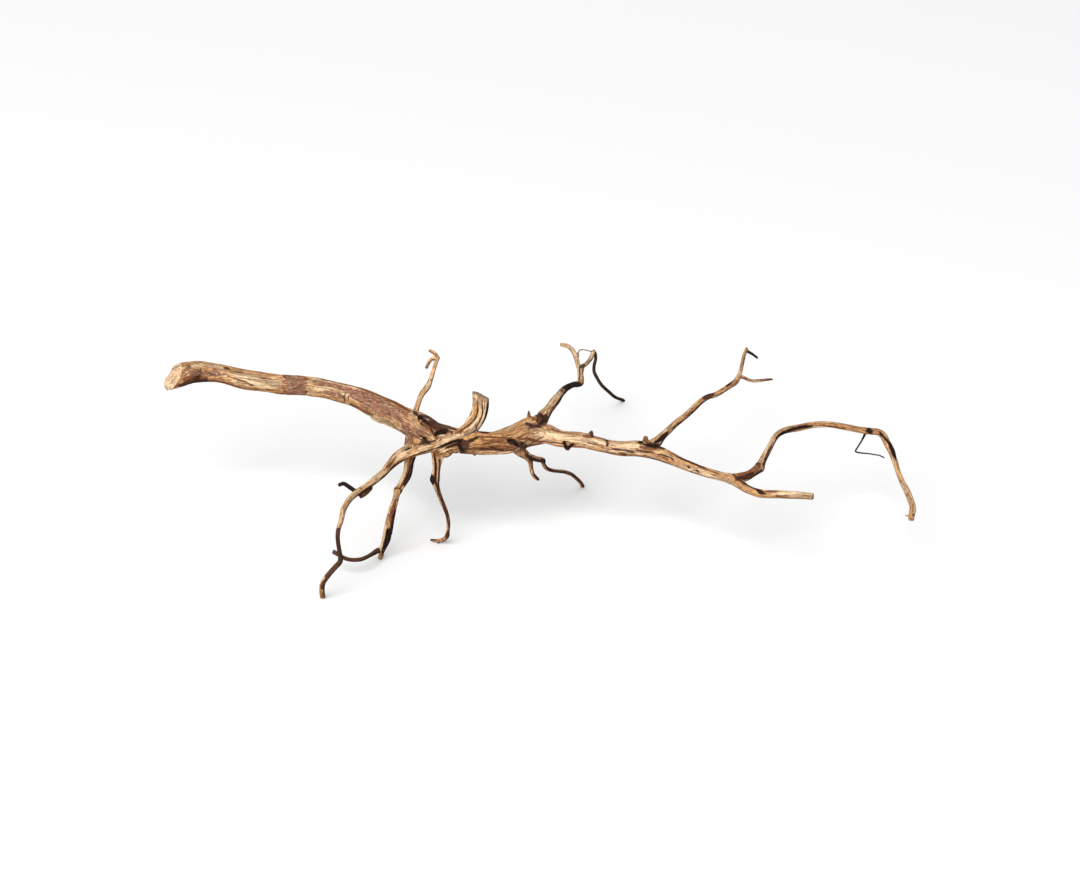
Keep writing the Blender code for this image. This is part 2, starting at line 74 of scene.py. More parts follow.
# Each limb: how deeply its flutes are pressed in, as a share of its radius, and then its route of
# (x, y, z, radius) from its root outwards.
LIMBS = {
    "trunk": (0.1, (
        (-384, -30, 156, 12), (-368, -18, 154, 12), (-356, -9, 153, 11.5), (-341.5, 2, 148.5, 10.5),
        (-321, 0, 147.5, 8.9), (-291, -7, 144.5, 9.7), (-261, -9.5, 141, 10), (-231, -6, 136.5, 9.6),
        (-201, -9, 131, 9.7), (-181, -15.5, 128, 10.6), (-161, -32, 126.5, 12), (-141, -48.5, 125, 12.4),
        (-121, -66.5, 123.5, 13.5), (-103, -83, 122.5, 13), (-76, -91, 121, 12), (-51, -91, 120, 11.6),
        (-31, -84, 118, 12.2), (-13, -69, 117, 11.5), (4, -64, 115.5, 10), (19, -72, 114.5, 8.4),
        (39, -69, 111, 7.8), (59, -73, 108, 6.9), (79, -74, 104, 7.3), (99, -68.5, 100.5, 8.1),
        (118.5, -75, 98, 7), (138.5, -87, 95.5, 5.8), (158.5, -101, 94.5, 4.9), (178.5, -113, 94.5, 4.5),
        (192, -120, 94.5, 5.5), (205, -138, 94.5, 4.2), (218.5, -148, 95, 4.1), (237, -150.5, 95.5, 3.9),
        (257, -153, 96, 3.8), (270, -157, 97, 3.5),
    )),
    "upright": (0.1, (
        (-126, -45, 120, 4.5), (-125, -42, 128, 3), (-120, -29, 138.5, 2.7), (-113.5, -23, 146, 3.2),
        (-110.5, -18.5, 151, 2.4), (-105.5, -9, 164, 2.2), (-103, -4.5, 169.5, 2.4),
    )),
    "upright_tip": (0.08, ((-103, -6, 169, 2.2), (-106.5, -1.5, 172, 2.1), (-112, 2, 173.6, 1.9))),
    "upright_hook": (0.08, (
        (-104, -6, 168, 2.1), (-109, -5.5, 168, 2), (-112, -6, 164.5, 1.9), (-115, -5.5, 157, 1.6),
    )),
    "stub": (0.1, (
        (-99, -97, 125.5, 3.8), (-89, -95.5, 127.8, 4.8), (-79, -92, 131, 6.6), (-71, -86, 134.5, 8),
        (-64.5, -79, 140.9, 8.6), (-61, -71, 148.4, 8.6), (-60.5, -65, 155.3, 8.4), (-60.5, -60, 162, 8.2),
        (-60.5, -56, 168, 8.2),
    )),
    "front_root": (0.12, (
        (-70, -89, 132, 3.2), (-81, -97, 129.7, 3.6), (-91, -100.5, 127.3, 3.8), (-101, -98.5, 121.5, 3.9),
        (-111, -94.5, 115.5, 4), (-130.5, -97, 111, 4.1), (-145.5, -107, 107.6, 4),
        (-159.5, -134.5, 108, 3.8), (-169.5, -148, 106.5, 3.8), (-181, -163.5, 106.5, 3.5),
        (-190, -180, 106.5, 3.2), (-195.5, -196, 104.5, 2.9), (-197.5, -206.5, 99, 2.6),
        (-200.5, -211, 90, 2.5), (-201, -210, 78, 2.3), (-199.5, -203, 60, 2.4), (-199, -198, 47, 2.6),
        (-204.5, -196.5, 38.5, 2.6), (-211.5, -199.5, 31, 2.8), (-216.5, -199, 22, 2.8),
        (-217.5, -196, 12, 2.7), (-217, -191, 3, 2.6), (-217, -189.5, -2, 2.6),
    )),
    "front_strand": (0.1, (
        (-132, -80, 110.3, 3), (-138, -92, 112.4, 2.8), (-145, -101.5, 112.2, 2.6), (-151, -115, 112, 2.4),
        (-156, -127, 111.5, 1.8),
    )),
    "front_lump": (0.12, ((-169.5, -147, 101.6, 3.3), (-174.5, -156, 101, 3.3), (-180, -160.5, 99, 2.8))),
    "front_spur": (0.12, (
        (-178.5, -159, 101.2, 2.6), (-185.5, -150, 100, 2.3), (-191.5, -148, 103.5, 2.2),
        (-196, -146, 105.5, 2.1), (-200.5, -141, 101, 2),
    )),
    "spine_ridge": (0.1, (
        (-127, -49, 124, 3.2), (-126, -62, 131, 4), (-122, -73, 131, 4.2), (-115.5, -80, 129.5, 4),
        (-110, -86, 127, 4), (-108, -90, 121.5, 4),
    )),
    "split_root": (0.16, (
        (-124, -66, 120, 9), (-128, -73, 112, 8), (-129.5, -80, 105, 6.3), (-131.5, -88, 98.5, 5),
        (-133.5, -97, 88, 4.6), (-138.5, -103.5, 80, 4), (-142.5, -106, 74, 3.5), (-145, -109.5, 65, 3.3),
        (-148, -112, 55, 3.8), (-150.5, -115, 45, 4.2), (-152.5, -117.5, 35, 4.5),
        (-154.5, -119.5, 24.5, 4.5), (-158, -119, 14, 3.6), (-161, -116, 1.6, 2.4),
    )),
    "split_twig": (0.12, (
        (-160, -118.5, 13, 2.5), (-164, -122.5, 13.5, 2.7), (-169, -131, 15, 2.3), (-174.5, -141, 17.5, 2.2),
        (-180.5, -147.5, 19, 2.2), (-188.5, -150, 20, 2.1), (-195, -149, 21, 2.1), (-199.5, -147, 22.5, 2.1),
        (-203.5, -145.5, 24.5, 2.4), (-207.5, -145, 26.5, 2.4),
    )),
    "toe_root": (0.14, (
        (-101, -90, 117, 9), (-102.5, -94, 109, 6.8), (-103.5, -96, 102, 5.2), (-104, -98.5, 95.5, 3.9),
        (-105.5, -102, 85, 4.2), (-103.5, -104.5, 76, 2.7), (-100.5, -103.5, 65, 2.3), (-97, -102.5, 54, 2.2),
        (-94, -101, 44, 2), (-92.5, -98, 33, 1.9), (-93, -95, 22, 1.9), (-94, -90, 12, 2.3),
        (-98, -85, 4.6, 2.2), (-103, -83, 2.7, 1.8), (-107.5, -82, 2.2, 1.4), (-111, -81, 2.6, 1.1),
    )),
    "toe_heel": (0.1, ((-98, -85, 4.6, 1.8), (-101.5, -84.5, 3, 1.6), (-103.5, -86, 1.3, 0.9))),
    "fork_root": (0.14, (
        (-25, -79.5, 110, 7), (-20, -80, 104, 5.6), (-14, -77, 97, 4.1), (-11.5, -75, 92.5, 3.2),
    )),
    "fork_short": (0.12, (
        (-14, -77, 96, 3.4), (-11, -75, 90, 2.6), (-10, -73, 81.5, 2.2), (-8.5, -72, 74, 2),
        (-5.5, -68, 67, 2), (-2.5, -64.5, 62.5, 1.6),
    )),
    "fork_long": (0.12, (
        (-14, -73.5, 95, 3.4), (-9, -70.5, 91.5, 3), (-3, -64.5, 86, 2.8), (2, -56.5, 80, 2.7),
        (2.5, -52, 73, 2.3), (6, -45, 64, 2.1), (12, -35, 56, 2), (18.5, -23, 48, 2), (24.5, -10.5, 40, 2),
        (30, 0, 31.5, 2), (35, 9.5, 21.5, 2), (39.5, 18.5, 11.5, 2), (41.5, 27, 2.5, 2.1),
        (42.5, 30.5, -2, 2.1),
    )),
    "back_branch": (0.12, (
        (-5, -56, 115, 10), (0, -40, 118.5, 7.2), (7, -21, 118, 5.2), (14, 2, 114.5, 4.6), (21, 27, 111, 3.6),
        (25.5, 41, 108, 3.3), (32, 53, 104.5, 2.9), (39.5, 63, 101, 3.4), (40, 78.5, 101, 3),
        (38.5, 91, 102.5, 2.5), (36.5, 104, 102.5, 2.5), (34.5, 116, 103.5, 2.4), (31, 126, 104.5, 2.3),
        (26, 127, 108, 2.2), (19.5, 126, 110, 2),
    )),
    "shoulder_rise": (0.1, (
        (-46, -84, 119.5, 8), (-34, -77, 121, 7.6), (-22, -67, 122, 7.6), (-8, -54, 121, 8),
    )),
    "back_twig": (0.12, (
        (40, 81, 101, 2.8), (42, 95.5, 101.5, 2.5), (45.5, 100, 102, 2.3), (50, 109.5, 102.5, 2.3),
        (52.5, 121, 102.5, 2.2), (54, 126, 103.5, 1.3),
    )),
    "back_drop": (0.1, (
        (52, 119.5, 102, 1.9), (54.5, 128, 99, 1.9), (55.5, 129, 92, 1.8), (54, 133, 81.5, 1.8),
        (54, 139, 70.5, 1.8), (57, 145.5, 59.5, 1.8), (62, 154, 46, 1.8), (68.5, 166.5, 32, 1.8),
        (74.5, 181.5, 17.5, 1.8), (79, 191, 9.5, 1.8), (83, 200.5, 2.5, 1.9), (85, 205, -2, 1.9),
    )),
    "back_wisp": (0.05, (
        (36, 110.5, 103, 1.6), (37.5, 115.5, 106, 0.9), (39.5, 119, 107.5, 0.8), (44, 121, 106.5, 0.8),
        (48.5, 121.5, 105, 0.8), (53.5, 123, 103.5, 0.9),
    )),
    "side_branch": (0.12, (
        (106.5, -66.5, 99, 7), (115.5, -57, 101, 5), (122, -43, 101, 3.7), (128, -32, 101, 3.4),
        (135, -17, 100, 3.3), (143.5, -4, 100, 3.1), (151.5, 11.5, 99, 3), (158, 24.5, 99, 3),
        (163.5, 33, 99, 2.9), (168.5, 38.5, 99, 2.7), (174.5, 43.5, 98, 2.6), (180, 49, 98, 2.6),
        (186, 56.5, 98, 2.6), (191.5, 63.5, 98, 2.8), (196, 69.5, 98, 2.9), (198.5, 75, 99, 2.7),
        (200.5, 84, 99, 2.3), (202, 92.5, 100, 2.1), (203.5, 104, 101, 1.9), (205, 117, 101, 1.9),
        (207, 125.5, 102, 1.8), (208, 131, 103, 1.6),
    )),
    "side_tip": (0.08, ((207.5, 127.5, 102, 1.7), (213.5, 126, 99, 1.5), (219.5, 120.5, 97, 1.3))),
    "side_twig": (0.08, (
        (199.5, 81, 98.5, 2), (205, 81, 97, 1.8), (209.5, 82.5, 93.5, 1.7), (215.5, 86.5, 90, 1.7),
        (222, 91, 88, 1.6), (228, 96, 86, 1.4), (234, 103, 82.5, 1.2),
    )),
    "arch": (0.12, (
        (189.5, -118.5, 94.5, 5.4), (203.5, -114, 95.5, 4.8), (210.5, -109.5, 97, 4.4),
        (217.5, -100.5, 98, 4.7), (221, -90, 100, 3.7), (226, -76.5, 102.5, 3.3), (230.5, -62, 103.5, 3.1),
        (234.5, -51.5, 104.5, 3.1), (240, -42.5, 104.5, 3.3), (247, -37, 104.5, 3.4), (259, -33, 104.5, 3.4),
        (269.5, -28.5, 104.5, 3.2), (279.5, -26.5, 104.5, 3.1), (289.5, -27, 104.5, 3.1),
        (299.5, -28.5, 103.5, 3.1), (309.5, -30.5, 102.5, 3.1), (319.5, -31.5, 101, 3.1),
        (329.5, -32, 100, 3.4), (338, -34, 100, 3.4), (343, -40.5, 99, 3.7), (346.5, -52, 97, 3.7),
        (350.5, -64.5, 94.5, 3.5), (353.5, -79.5, 91.5, 3.1), (356, -93, 88, 2.8), (359.5, -105, 84.5, 2.9),
        (364.5, -118, 80.5, 3.3), (368, -128, 76, 3.3), (370, -136, 71.5, 3.4), (368.5, -143, 67.5, 3.3),
        (368, -148, 65.5, 3.2),
    )),
    "arch_wisp": (0.05, (
        (325.5, -32.5, 99.5, 1.8), (321.5, -29.5, 88, 1.1), (317.5, -26, 78, 1), (315.5, -24, 71.5, 1),
        (322, -21, 68, 0.95), (328, -18.5, 66, 0.9), (334, -17, 64, 0.9), (340, -14.5, 61.5, 0.9),
        (345, -16, 59.5, 0.9),
    )),
    # Broken twigs and thorns are short limbs too.
    "spine": (0.05, ((-11, -56, 123, 5), (-12, -52, 127, 2.4), (-12, -51, 131, 1.6), (-12, -50, 134, 0.8))),
    "top_thorn": (0.08, ((48, -69, 111, 5), (49.5, -66, 115, 3.2), (51, -63, 118.5, 1))),
    "shoulder_stub": (0.12, ((104, -66, 103, 3.8), (104.5, -62, 106.5, 3.2), (105, -59, 109.5, 2))),
    "lower_thorn": (0.08, ((-66, -95, 114, 4), (-66, -97.5, 112, 2.4), (-66, -99.5, 110, 0.8))),
    "lower_stub": (0.1, ((26, -74, 109, 5), (26.5, -77, 106.5, 3.4), (26.5, -79, 104.5, 1.5))),
    "side_stub": (0.1, ((81, -74, 100, 4.5), (82.5, -75, 98, 2.6), (83, -75, 96, 1))),
    "arch_spur": (0.05, ((369.5, -143, 68, 1.8), (366, -143.5, 67.3, 1.2), (362, -143, 67, 0.8))),
}

# Knots are low swellings: (x, y, z) of the centre and the radius.
KNOTS = {
    "lower_knot": (-95, -96, 115.5, 7.5),
    "upper_knot": (-122, -76, 112.5, 8.6),
    "shoulder_knot": (-9, -57, 120, 9),
    "shelf_knot": (-160, -37.5, 124, 10.5),
    "ring_knot": (-142.5, -106, 74, 4.6),
    "elbow_knot": (217.5, -101, 98, 5.4),
    "toe_knot": (-106, -102, 85, 4.8),
    "wisp_knot": (37, 113.5, 104.5, 1.8),
}

# Weathering, and painted shade in hollows, creases and crotches and on shaded sides, that a person would see
# from the front, 30 degrees from above, at one millimetre to the unit. By the limbs that it may lie on,
# or the sawn face, and by its finish, each mark is half its width and then its points, from the left and from
# the top.
FRONT_MIDDLE = (541, 490)
FRONT_LIFT = 11.5
VIEW_SINE = 0.5
VIEW_COSINE = 0.866
MARKS = {
    ("sawn", "cream"): {"saw light": (4.2, (170, 384), (174, 378))},
    ("sawn", "grey"): {"saw rim": (1.2, (168, 390), (163, 384), (165, 377), (171, 370), (180, 365))},
    ("sawn", "plum"): {"saw check": (0.8, (170, 379), (175, 381))},
    ("trunk", "gold"): {
        "crown gold": (1.8, (200, 378), (216, 378), (233, 379)),
        "flank gold": (2.8, (244, 388), (262, 391), (290, 393)),
        "under gold": (3.2, (307, 396), (325, 399), (345, 402)),
        "ridge fleck 3": (0.9, (380, 401), (389, 406)),
        "hem 3": (2, (352, 409), (366, 416), (384, 425), (400, 435)),
        "belly gold": (8, (470, 440), (490, 440), (512, 438)),
        "belly top": (2.5, (490, 434), (505, 433), (516, 431)),
    },
    ("trunk", "cream"): {
        "crown strip": (2, (192, 365), (205, 365), (217, 367), (226, 369)),
        "crown fleck": (1, (197, 372), (201, 372)),
        "flank": (6, (233, 375), (250, 379), (266, 383), (279, 384)),
        "ring tick": (0.8, (290, 386), (292, 389)), "ring tick 2": (0.7, (299, 383), (302, 384)),
        "tick 1": (1.2, (303, 383), (312, 383)), "tick 2": (1.4, (316, 382), (330, 382)),
        "pale strip": (1.9, (306, 389), (325, 388), (345, 391)),
        "ridge fleck 1": (0.8, (340, 387), (347, 389)), "ridge fleck 2": (0.7, (362, 394), (368, 397)),
        "bark fleck 4": (0.8, (357, 399), (362, 401)), "bark fleck 5": (0.7, (386, 415), (389, 417)),
        "pale spots": (1.5, (339, 393), (352, 396)), "hem 1": (1.8, (345, 404), (353, 406), (360, 409)),
        "hem 2": (3.2, (361, 412), (376, 418), (392, 426), (404, 434)),
        "armpit line": (0.8, (505, 435), (505, 443)),
        "peach": (4.2, (536, 433), (560, 436), (585, 440), (604, 443)),
        "far light": (1.8, (612, 443), (632, 446), (650, 449)),
        "far light 2": (1.6, (676, 463), (694, 470), (716, 478), (735, 484)),
        "end light": (3, (774, 492), (790, 494), (808, 497)),
    },
    ("trunk", "grey"): {
        "flank line 1": (0.9, (236, 374), (244, 375), (253, 378)),
        "flank line 2": (0.8, (242, 380), (252, 381), (263, 384)),
        "bark fleck 1": (1.3, (370, 401), (378, 404), (385, 406)),
        "bark fleck 2": (1.1, (383, 409), (390, 412)), "bark fleck 3": (1.2, (396, 412), (402, 417)),
        "crest chip": (1.2, (423, 417), (428, 419)),
        "peach line 3": (0.7, (560, 439), (575, 440), (590, 441)),
    },
    ("trunk", "rust"): {
        "heel rust": (3.2, (186, 380), (196, 379), (206, 378)),
        "crown seam": (0.9, (205, 381), (217, 381), (229, 384), (242, 388)),
        "flank line 3": (0.6, (258, 377), (268, 379), (277, 380)),
        "flank streak": (1, (228, 376), (239, 380), (250, 384), (258, 390)),
        "ring top": (2.6, (284, 376), (296, 377), (307, 379)),
        "ring foot": (2.6, (285, 391), (297, 393), (306, 392)),
        "ridge edge": (1.5, (322, 379), (340, 382), (355, 386), (370, 392), (390, 400), (410, 411)),
        "ridge line": (0.6, (345, 387), (360, 393), (375, 400), (392, 407)),
        "bark edge": (0.9, (368, 407), (380, 411), (390, 418), (400, 424)),
        "scar 2": (0.7, (349, 395), (348, 401)), "rust streak": (1.5, (350, 404), (360, 409), (373, 415)),
        "belly 1": (1, (476, 437), (490, 437), (504, 438), (514, 437)),
        "belly 3": (0.9, (484, 441), (496, 440), (508, 440)),
        "belly 4": (1.1, (490, 446), (505, 446), (518, 449)),
        "belly crown": (1, (486, 427), (500, 426), (514, 423)),
        "belly 2": (1.3, (484, 444), (496, 442), (508, 443)),
        "belly band": (2.3, (470, 449), (484, 448), (500, 449), (514, 450)),
        "armpit streak": (1.5, (518, 439), (528, 439), (540, 442)),
        "peach line 1": (0.7, (547, 428), (560, 432), (574, 434)),
        "peach line 2": (0.7, (588, 443), (596, 445), (605, 446)),
        "peach line 4": (0.6, (540, 441), (556, 443), (563, 444)), "elbow rust": (2, (640, 447), (655, 449)),
        "lower line 1": (0.8, (640, 457), (655, 459), (668, 463)),
        "lower line 2": (0.8, (690, 472), (705, 477), (718, 482)),
        "upper line": (0.8, (668, 452), (682, 459), (700, 467), (715, 473)),
        "end line": (0.7, (775, 496), (788, 498), (800, 499)), "end streak": (1.2, (764, 491), (776, 491)),
    },
    ("trunk", "plum"): {
        "saw collar": (2.6, (185, 377), (186, 371), (190, 367)),
        "crown band": (2.6, (191, 373), (208, 373), (227, 374)), "ring": (10.5, (295, 376), (295, 393)),
        "dash 1": (0.9, (311, 381), (317, 382)), "dash 2": (0.9, (318, 385), (329, 386)),
        "scab": (2.8, (325, 392), (335, 394), (343, 397)),
        "ridge bark": (3.2, (316, 382), (338, 387), (352, 391), (370, 397), (388, 405), (406, 414)),
        "bark upper": (4.6, (352, 395), (365, 400), (378, 405), (392, 411)),
        "bark lower": (4.6, (362, 404), (378, 409), (392, 415), (402, 421)),
        "field": (5.5, (405, 424), (409, 432), (417, 433), (424, 433)),
        "side bud plum": (1.7, (627, 451), (633, 452)),
    },
    ("trunk", "dark"): {
        "heel": (2.8, (181, 386), (190, 384), (199, 382), (206, 380)),
        "crown notch": (1.5, (224, 368), (229, 369)), "scar 1": (0.7, (346, 393), (344, 397), (345, 402)),
        "crest": (1.7, (421, 415), (430, 418), (440, 423), (449, 427), (457, 430)),
        "crest red": (4, (429, 422), (436, 426), (447, 430)),
        # Painted shade in the crease between the trunk and the knob under the stub, and under the stub.
        "crease": (5.5, (460, 441), (465, 446), (463, 451)), "stub shade": (1.1, (480, 432), (489, 433)),
        "belly band line": (0.9, (474, 449), (488, 449), (503, 450)),
        "belly band core": (1.6, (491, 447), (497, 450)), "nick": (1.5, (604, 437), (607, 441), (607, 446)),
        "long nick 1": (0.9, (612, 449), (622, 450), (633, 452)),
        "long nick 2": (0.9, (636, 450), (645, 452), (653, 452)),
        "long nick 3": (0.8, (658, 454), (666, 456), (673, 459)), "fleck 1": (1.2, (671, 458), (673, 460)),
        "far crest": (0.9, (675, 456), (690, 462), (705, 468)), "fleck 2": (1.1, (687, 466), (689, 468)),
        "fleck 3": (1.1, (696, 470), (698, 472)),
    },
    ("trunk", "black"): {
        # Painted shade in the hollow under the upright's foot and in the crease under the stub.
        "crest hollow": (3.2, (420, 417), (424, 422), (429, 426)), "crease core": (2, (459, 445), (463, 450)),
        "end shade": (1.8, (756, 490), (762, 493)),
    },
    ("trunk upright", "dark"): {"socket of the upright": (2, (414, 412), (418, 415))},
    ("trunk spine_ridge", "gold"): {"fold gold": (1.6, (417, 420), (422, 426), (428, 430))},
    ("trunk spine_ridge", "cream"): {
        "fold": (1.7, (413, 414), (415, 422), (418, 427), (425, 430), (430, 435), (434, 440)),
    },
    ("trunk spine_ridge", "rust"): {"junction shade": (5, (424, 422), (434, 429), (441, 440))},
    ("trunk spine_ridge", "plum"): {"pink fold": (2, (433, 429), (436, 436))},
    ("trunk spine_ridge", "dark"): {
        "junction low": (2.6, (423, 440), (430, 443), (438, 441)),
        "pit tail": (1.2, (420, 435), (424, 438), (428, 442)),
        "slit": (0.9, (431, 428), (434, 434), (438, 438)),
    },
    ("trunk spine_ridge", "black"): {"pit": (1.5, (424, 438), (427, 439))},
    ("trunk split_root", "rust"): {
        "junction left": (3.4, (405, 440), (409, 449), (414, 452)),
        "field edge": (1.2, (402, 430), (407, 439), (410, 447)),
        "knob line": (0.8, (414, 434), (412, 440), (415, 446)),
    },
    ("trunk split_root", "plum"): {"field heel": (4, (406, 436), (409, 445))},
    ("trunk split_root toe_root", "gold"): {"knob": (4.4, (416, 437), (418, 442))},
    ("trunk split_root toe_root", "rust"): {"knob shade": (1.8, (420, 444), (425, 442), (430, 443))},
    ("trunk stub spine_ridge", "black"): {"hole": (3.4, (437, 434), (441, 433), (446, 431))},
    ("trunk stub", "rust"): {"stub foot": (1.8, (456, 433), (463, 431))},
    ("trunk stub", "plum"): {"small knob": (2.1, (447, 431), (452, 432))},
    ("trunk stub", "dark"): {
        "small knob line": (0.8, (452, 428), (453, 434)),
        "strand shadow": (2.2, (478, 437), (468, 442), (456, 444), (444, 448), (430, 452)),
    },
    ("stub", "gold"): {"stub gold": (4.4, (473, 398), (474, 412), (470, 421), (461, 429))},
    ("stub", "cream"): {
        "stub pale side": (1.6, (472, 398), (471, 411), (466, 421), (458, 428)),
        "stub warm": (1.8, (472, 400), (472, 411), (467, 420), (459, 427)),
        "stub pale line": (1.4, (485, 403), (485, 412), (482, 421), (478, 429)),
        "stub lip": (1.1, (471, 394), (473, 398)),
    },
    ("stub", "grey"): {
        "stub weathered": (1.6, (481, 401), (482, 411), (480, 421)),
        "stub top": (2, (472, 393), (478, 394), (484, 397), (488, 400)),
    },
    ("stub", "dark"): {"stub dark line": (0.7, (482, 404), (483, 412), (481, 419))},
    # Painted shade down the stub's right side.
    ("stub", "black"): {"stub edge": (1.3, (489, 400), (488, 410), (485, 420), (480, 431))},
    ("stub front_root", "cream"): {
        "stub ridge": (1.4, (476, 396), (480, 402), (481, 411), (478, 420), (470, 428)),
        "strand light": (2, (463, 434), (450, 437), (440, 440), (430, 445), (420, 449)),
    },
    ("stub front_root", "grey"): {"stub bruise": (2.8, (478, 425), (472, 430), (465, 434))},
    ("stub front_root", "dark"): {
        "stub groove": (0.9, (477, 402), (478, 411), (475, 419), (468, 426), (460, 431)),
    },
    ("stub front_root", "black"): {
        "strand shade": (1.2, (481, 433), (470, 439), (456, 441), (447, 444), (437, 448)),
    },
    ("front_root", "gold"): {"front foot": (3.4, (323, 591), (323, 597))},
    ("front_root", "cream"): {
        "strand side": (1.8, (412, 449), (400, 455), (388, 463), (376, 473)),
        "front light": (1.3, (372, 478), (360, 490), (350, 503), (344, 516)),
    },
    ("front_root", "dark"): {
        # Painted shade under the front root's strand.
        "strand underside": (0.9, (437, 448), (424, 452), (410, 457)),
        "front bend": (4.5, (341, 529), (340, 540), (341, 552), (342, 560), (336, 567), (329, 575)),
        "front shin": (2.6, (328, 577), (325, 583), (324, 587)),
    },
    ("trunk toe_root", "gold"): {"under knob": (3.4, (443, 447), (451, 445), (457, 444))},
    ("trunk toe_root", "cream"): {"swirl light": (0.8, (441, 450), (446, 450), (452, 446))},
    ("trunk toe_root", "rust"): {
        "swirl": (0.8, (438, 449), (440, 454), (447, 452), (454, 448)),
        "under knob side": (3.4, (435, 449), (438, 455)),
    },
    ("trunk lower_thorn", "dark"): {"lower thorn": (1.2, (474, 455), (476, 456))},
    ("trunk back_branch shoulder_rise", "gold"): {"shoulder gold": (3, (520, 422), (527, 418), (534, 418))},
    ("trunk back_branch shoulder_rise", "plum"): {"collar plum": (3.2, (527, 425), (536, 427), (545, 424))},
    ("trunk back_branch shoulder_rise", "dark"): {
        "collar shade": (1.8, (526, 423), (532, 426), (540, 427)),
        "collar": (3.4, (536, 413), (541, 418), (544, 421), (539, 425)),
        "collar side": (2.2, (545, 415), (547, 421)),
    },
    ("trunk back_branch shoulder_rise", "black"): {"collar core": (1.5, (541, 414), (544, 419), (541, 423))},
    ("spine", "dark"): {"spine tip": (1, (528, 411), (529, 415))},
    # Painted shade at the foot of the spine.
    ("back_branch shoulder_rise spine", "rust"): {"spine foot": (1.2, (529, 416), (533, 419), (538, 420))},
    # Painted shade in the crotch between the trunk and the fork root.
    ("trunk fork_root", "dark"): {"armpit": (3.8, (510, 442), (518, 444), (525, 446))},
    ("trunk fork_root", "black"): {"armpit core": (1.9, (508, 440), (513, 441), (518, 446))},
    ("trunk lower_stub", "black"): {"splinter": (1.7, (564, 442), (567, 448), (573, 444))},
    ("trunk top_thorn", "rust"): {"top thorn foot": (1.9, (583, 436), (592, 437))},
    # Painted shade on the top thorn.
    ("trunk top_thorn", "dark"): {"top thorn": (2.4, (590, 431), (593, 436))},
    ("trunk side_stub", "rust"): {"side bud": (1.9, (620, 453), (626, 455))},
    ("trunk side_branch", "dark"): {
        "elbow of the side branch": (2.8, (639, 442), (647, 444), (656, 446), (664, 448)),
    },
    ("trunk side_branch", "black"): {
        "elbow core": (1.5, (640, 442), (649, 445), (658, 447)),
        "elbow heel": (1.7, (655, 442), (660, 439), (667, 433)),
    },
    ("trunk side_branch shoulder_stub", "rust"): {"elbow bud": (3, (643, 437), (647, 440))},
    ("shoulder_stub", "gold"): {"elbow bud top": (1, (645, 434), (645, 437))},
    ("trunk arch", "rust"): {"arch base": (4.5, (736, 478), (747, 472), (758, 466))},
    ("trunk arch", "dark"): {
        "arch base line": (2.4, (735, 479), (743, 477), (752, 473)),
        # Painted shade in the crotch at the arch's foot.
        "arch crease": (1.4, (732, 474), (740, 481), (749, 486), (757, 490)),
    },
    ("arch", "gold"): {
        "arch base bare": (1.6, (746, 474), (754, 470)), "arch ring": (2.4, (860, 429), (862, 431)),
    },
    ("arch", "cream"): {
        "arch light": (1.6, (776, 434), (790, 426), (815, 420), (840, 422), (860, 427)),
        "arch rise light": (1.2, (763, 458), (767, 446), (773, 436)),
        "leg light": (1.5, (892, 462), (898, 480), (905, 495), (912, 508)),
    },
    ("arch", "rust"): {"arch line": (1.1, (815, 425), (830, 426), (846, 429))},
    ("arch", "plum"): {"arch plum": (1.4, (870, 430), (872, 431))},
    ("arch", "dark"): {
        "arch base edge": (1.5, (744, 479), (753, 476), (761, 470)), "knuckle": (1.5, (755, 463), (759, 464)),
        "knuckle rise": (1.1, (762, 466), (766, 456), (771, 447)), "leg dot": (1.4, (916, 507), (917, 511)),
        "leg tip": (1.7, (911, 514), (915, 517)),
    },
    ("arch", "black"): {
        # Painted shade under the top of the arch.
        "arch under": (1.5, (776, 438), (785, 432), (797, 428), (812, 426)),
        "arch band": (2.6, (868, 429), (871, 432)),
        "leg streak": (1.4, (880, 433), (889, 443), (896, 455), (901, 468), (906, 480)),
        "leg bruise": (1.9, (889, 444), (896, 459)),
    },
    # Painted shade in the fork's crotch.
    ("fork_root fork_short fork_long", "dark"): {"crotch": (2, (526, 455), (531, 458), (537, 461))},
    ("fork_root fork_short", "cream"): {"fork pale": (0.8, (518, 446), (524, 452), (529, 461), (532, 470))},
    ("fork_root fork_short", "rust"): {"fork brown": (1.6, (522, 449), (528, 455), (531, 464), (534, 472))},
    ("fork_short", "dark"): {"fork tip": (1.2, (534, 474), (538, 480))},
    ("fork_root fork_long", "rust"): {"tine top": (1.4, (536, 459), (543, 464))},
    ("fork_long", "dark"): {"tine bud": (1.3, (544, 459), (545, 463))},
    ("back_branch", "cream"): {
        "back light": (3, (541, 410), (548, 403), (555, 395), (560, 389)),
        "back strip": (0.9, (577, 380), (577, 369)), "back tip": (1.7, (558, 345), (568, 347)),
    },
    ("back_branch", "rust"): {"back band": (1.4, (558, 388), (563, 391))},
    ("back_branch", "dark"): {"back line": (0.7, (580, 380), (580, 368))},
    ("back_branch", "black"): {"back elbow": (3.3, (564, 387), (572, 385), (580, 384))},
    ("back_branch back_twig", "dark"): {"twig fork": (1.9, (580, 367), (585, 364))},
    ("back_twig", "cream"): {"twig end": (1.4, (591, 354), (595, 351))},
    ("back_twig", "grey"): {"twig side": (2, (585, 363), (590, 356))},
    ("side_branch", "gold"): {"side spot": (1.8, (679, 421), (681, 418))},
    ("side_branch", "cream"): {
        "side light": (1.6, (652, 432), (668, 416), (684, 403), (700, 394)),
        "side fork": (1.2, (738, 374), (741, 361)),
    },
    ("side_branch", "dark"): {"side elbow": (2.8, (705, 398), (714, 394))},
    ("side_branch", "black"): {"side band": (1.9, (728, 385), (732, 381), (736, 376))},
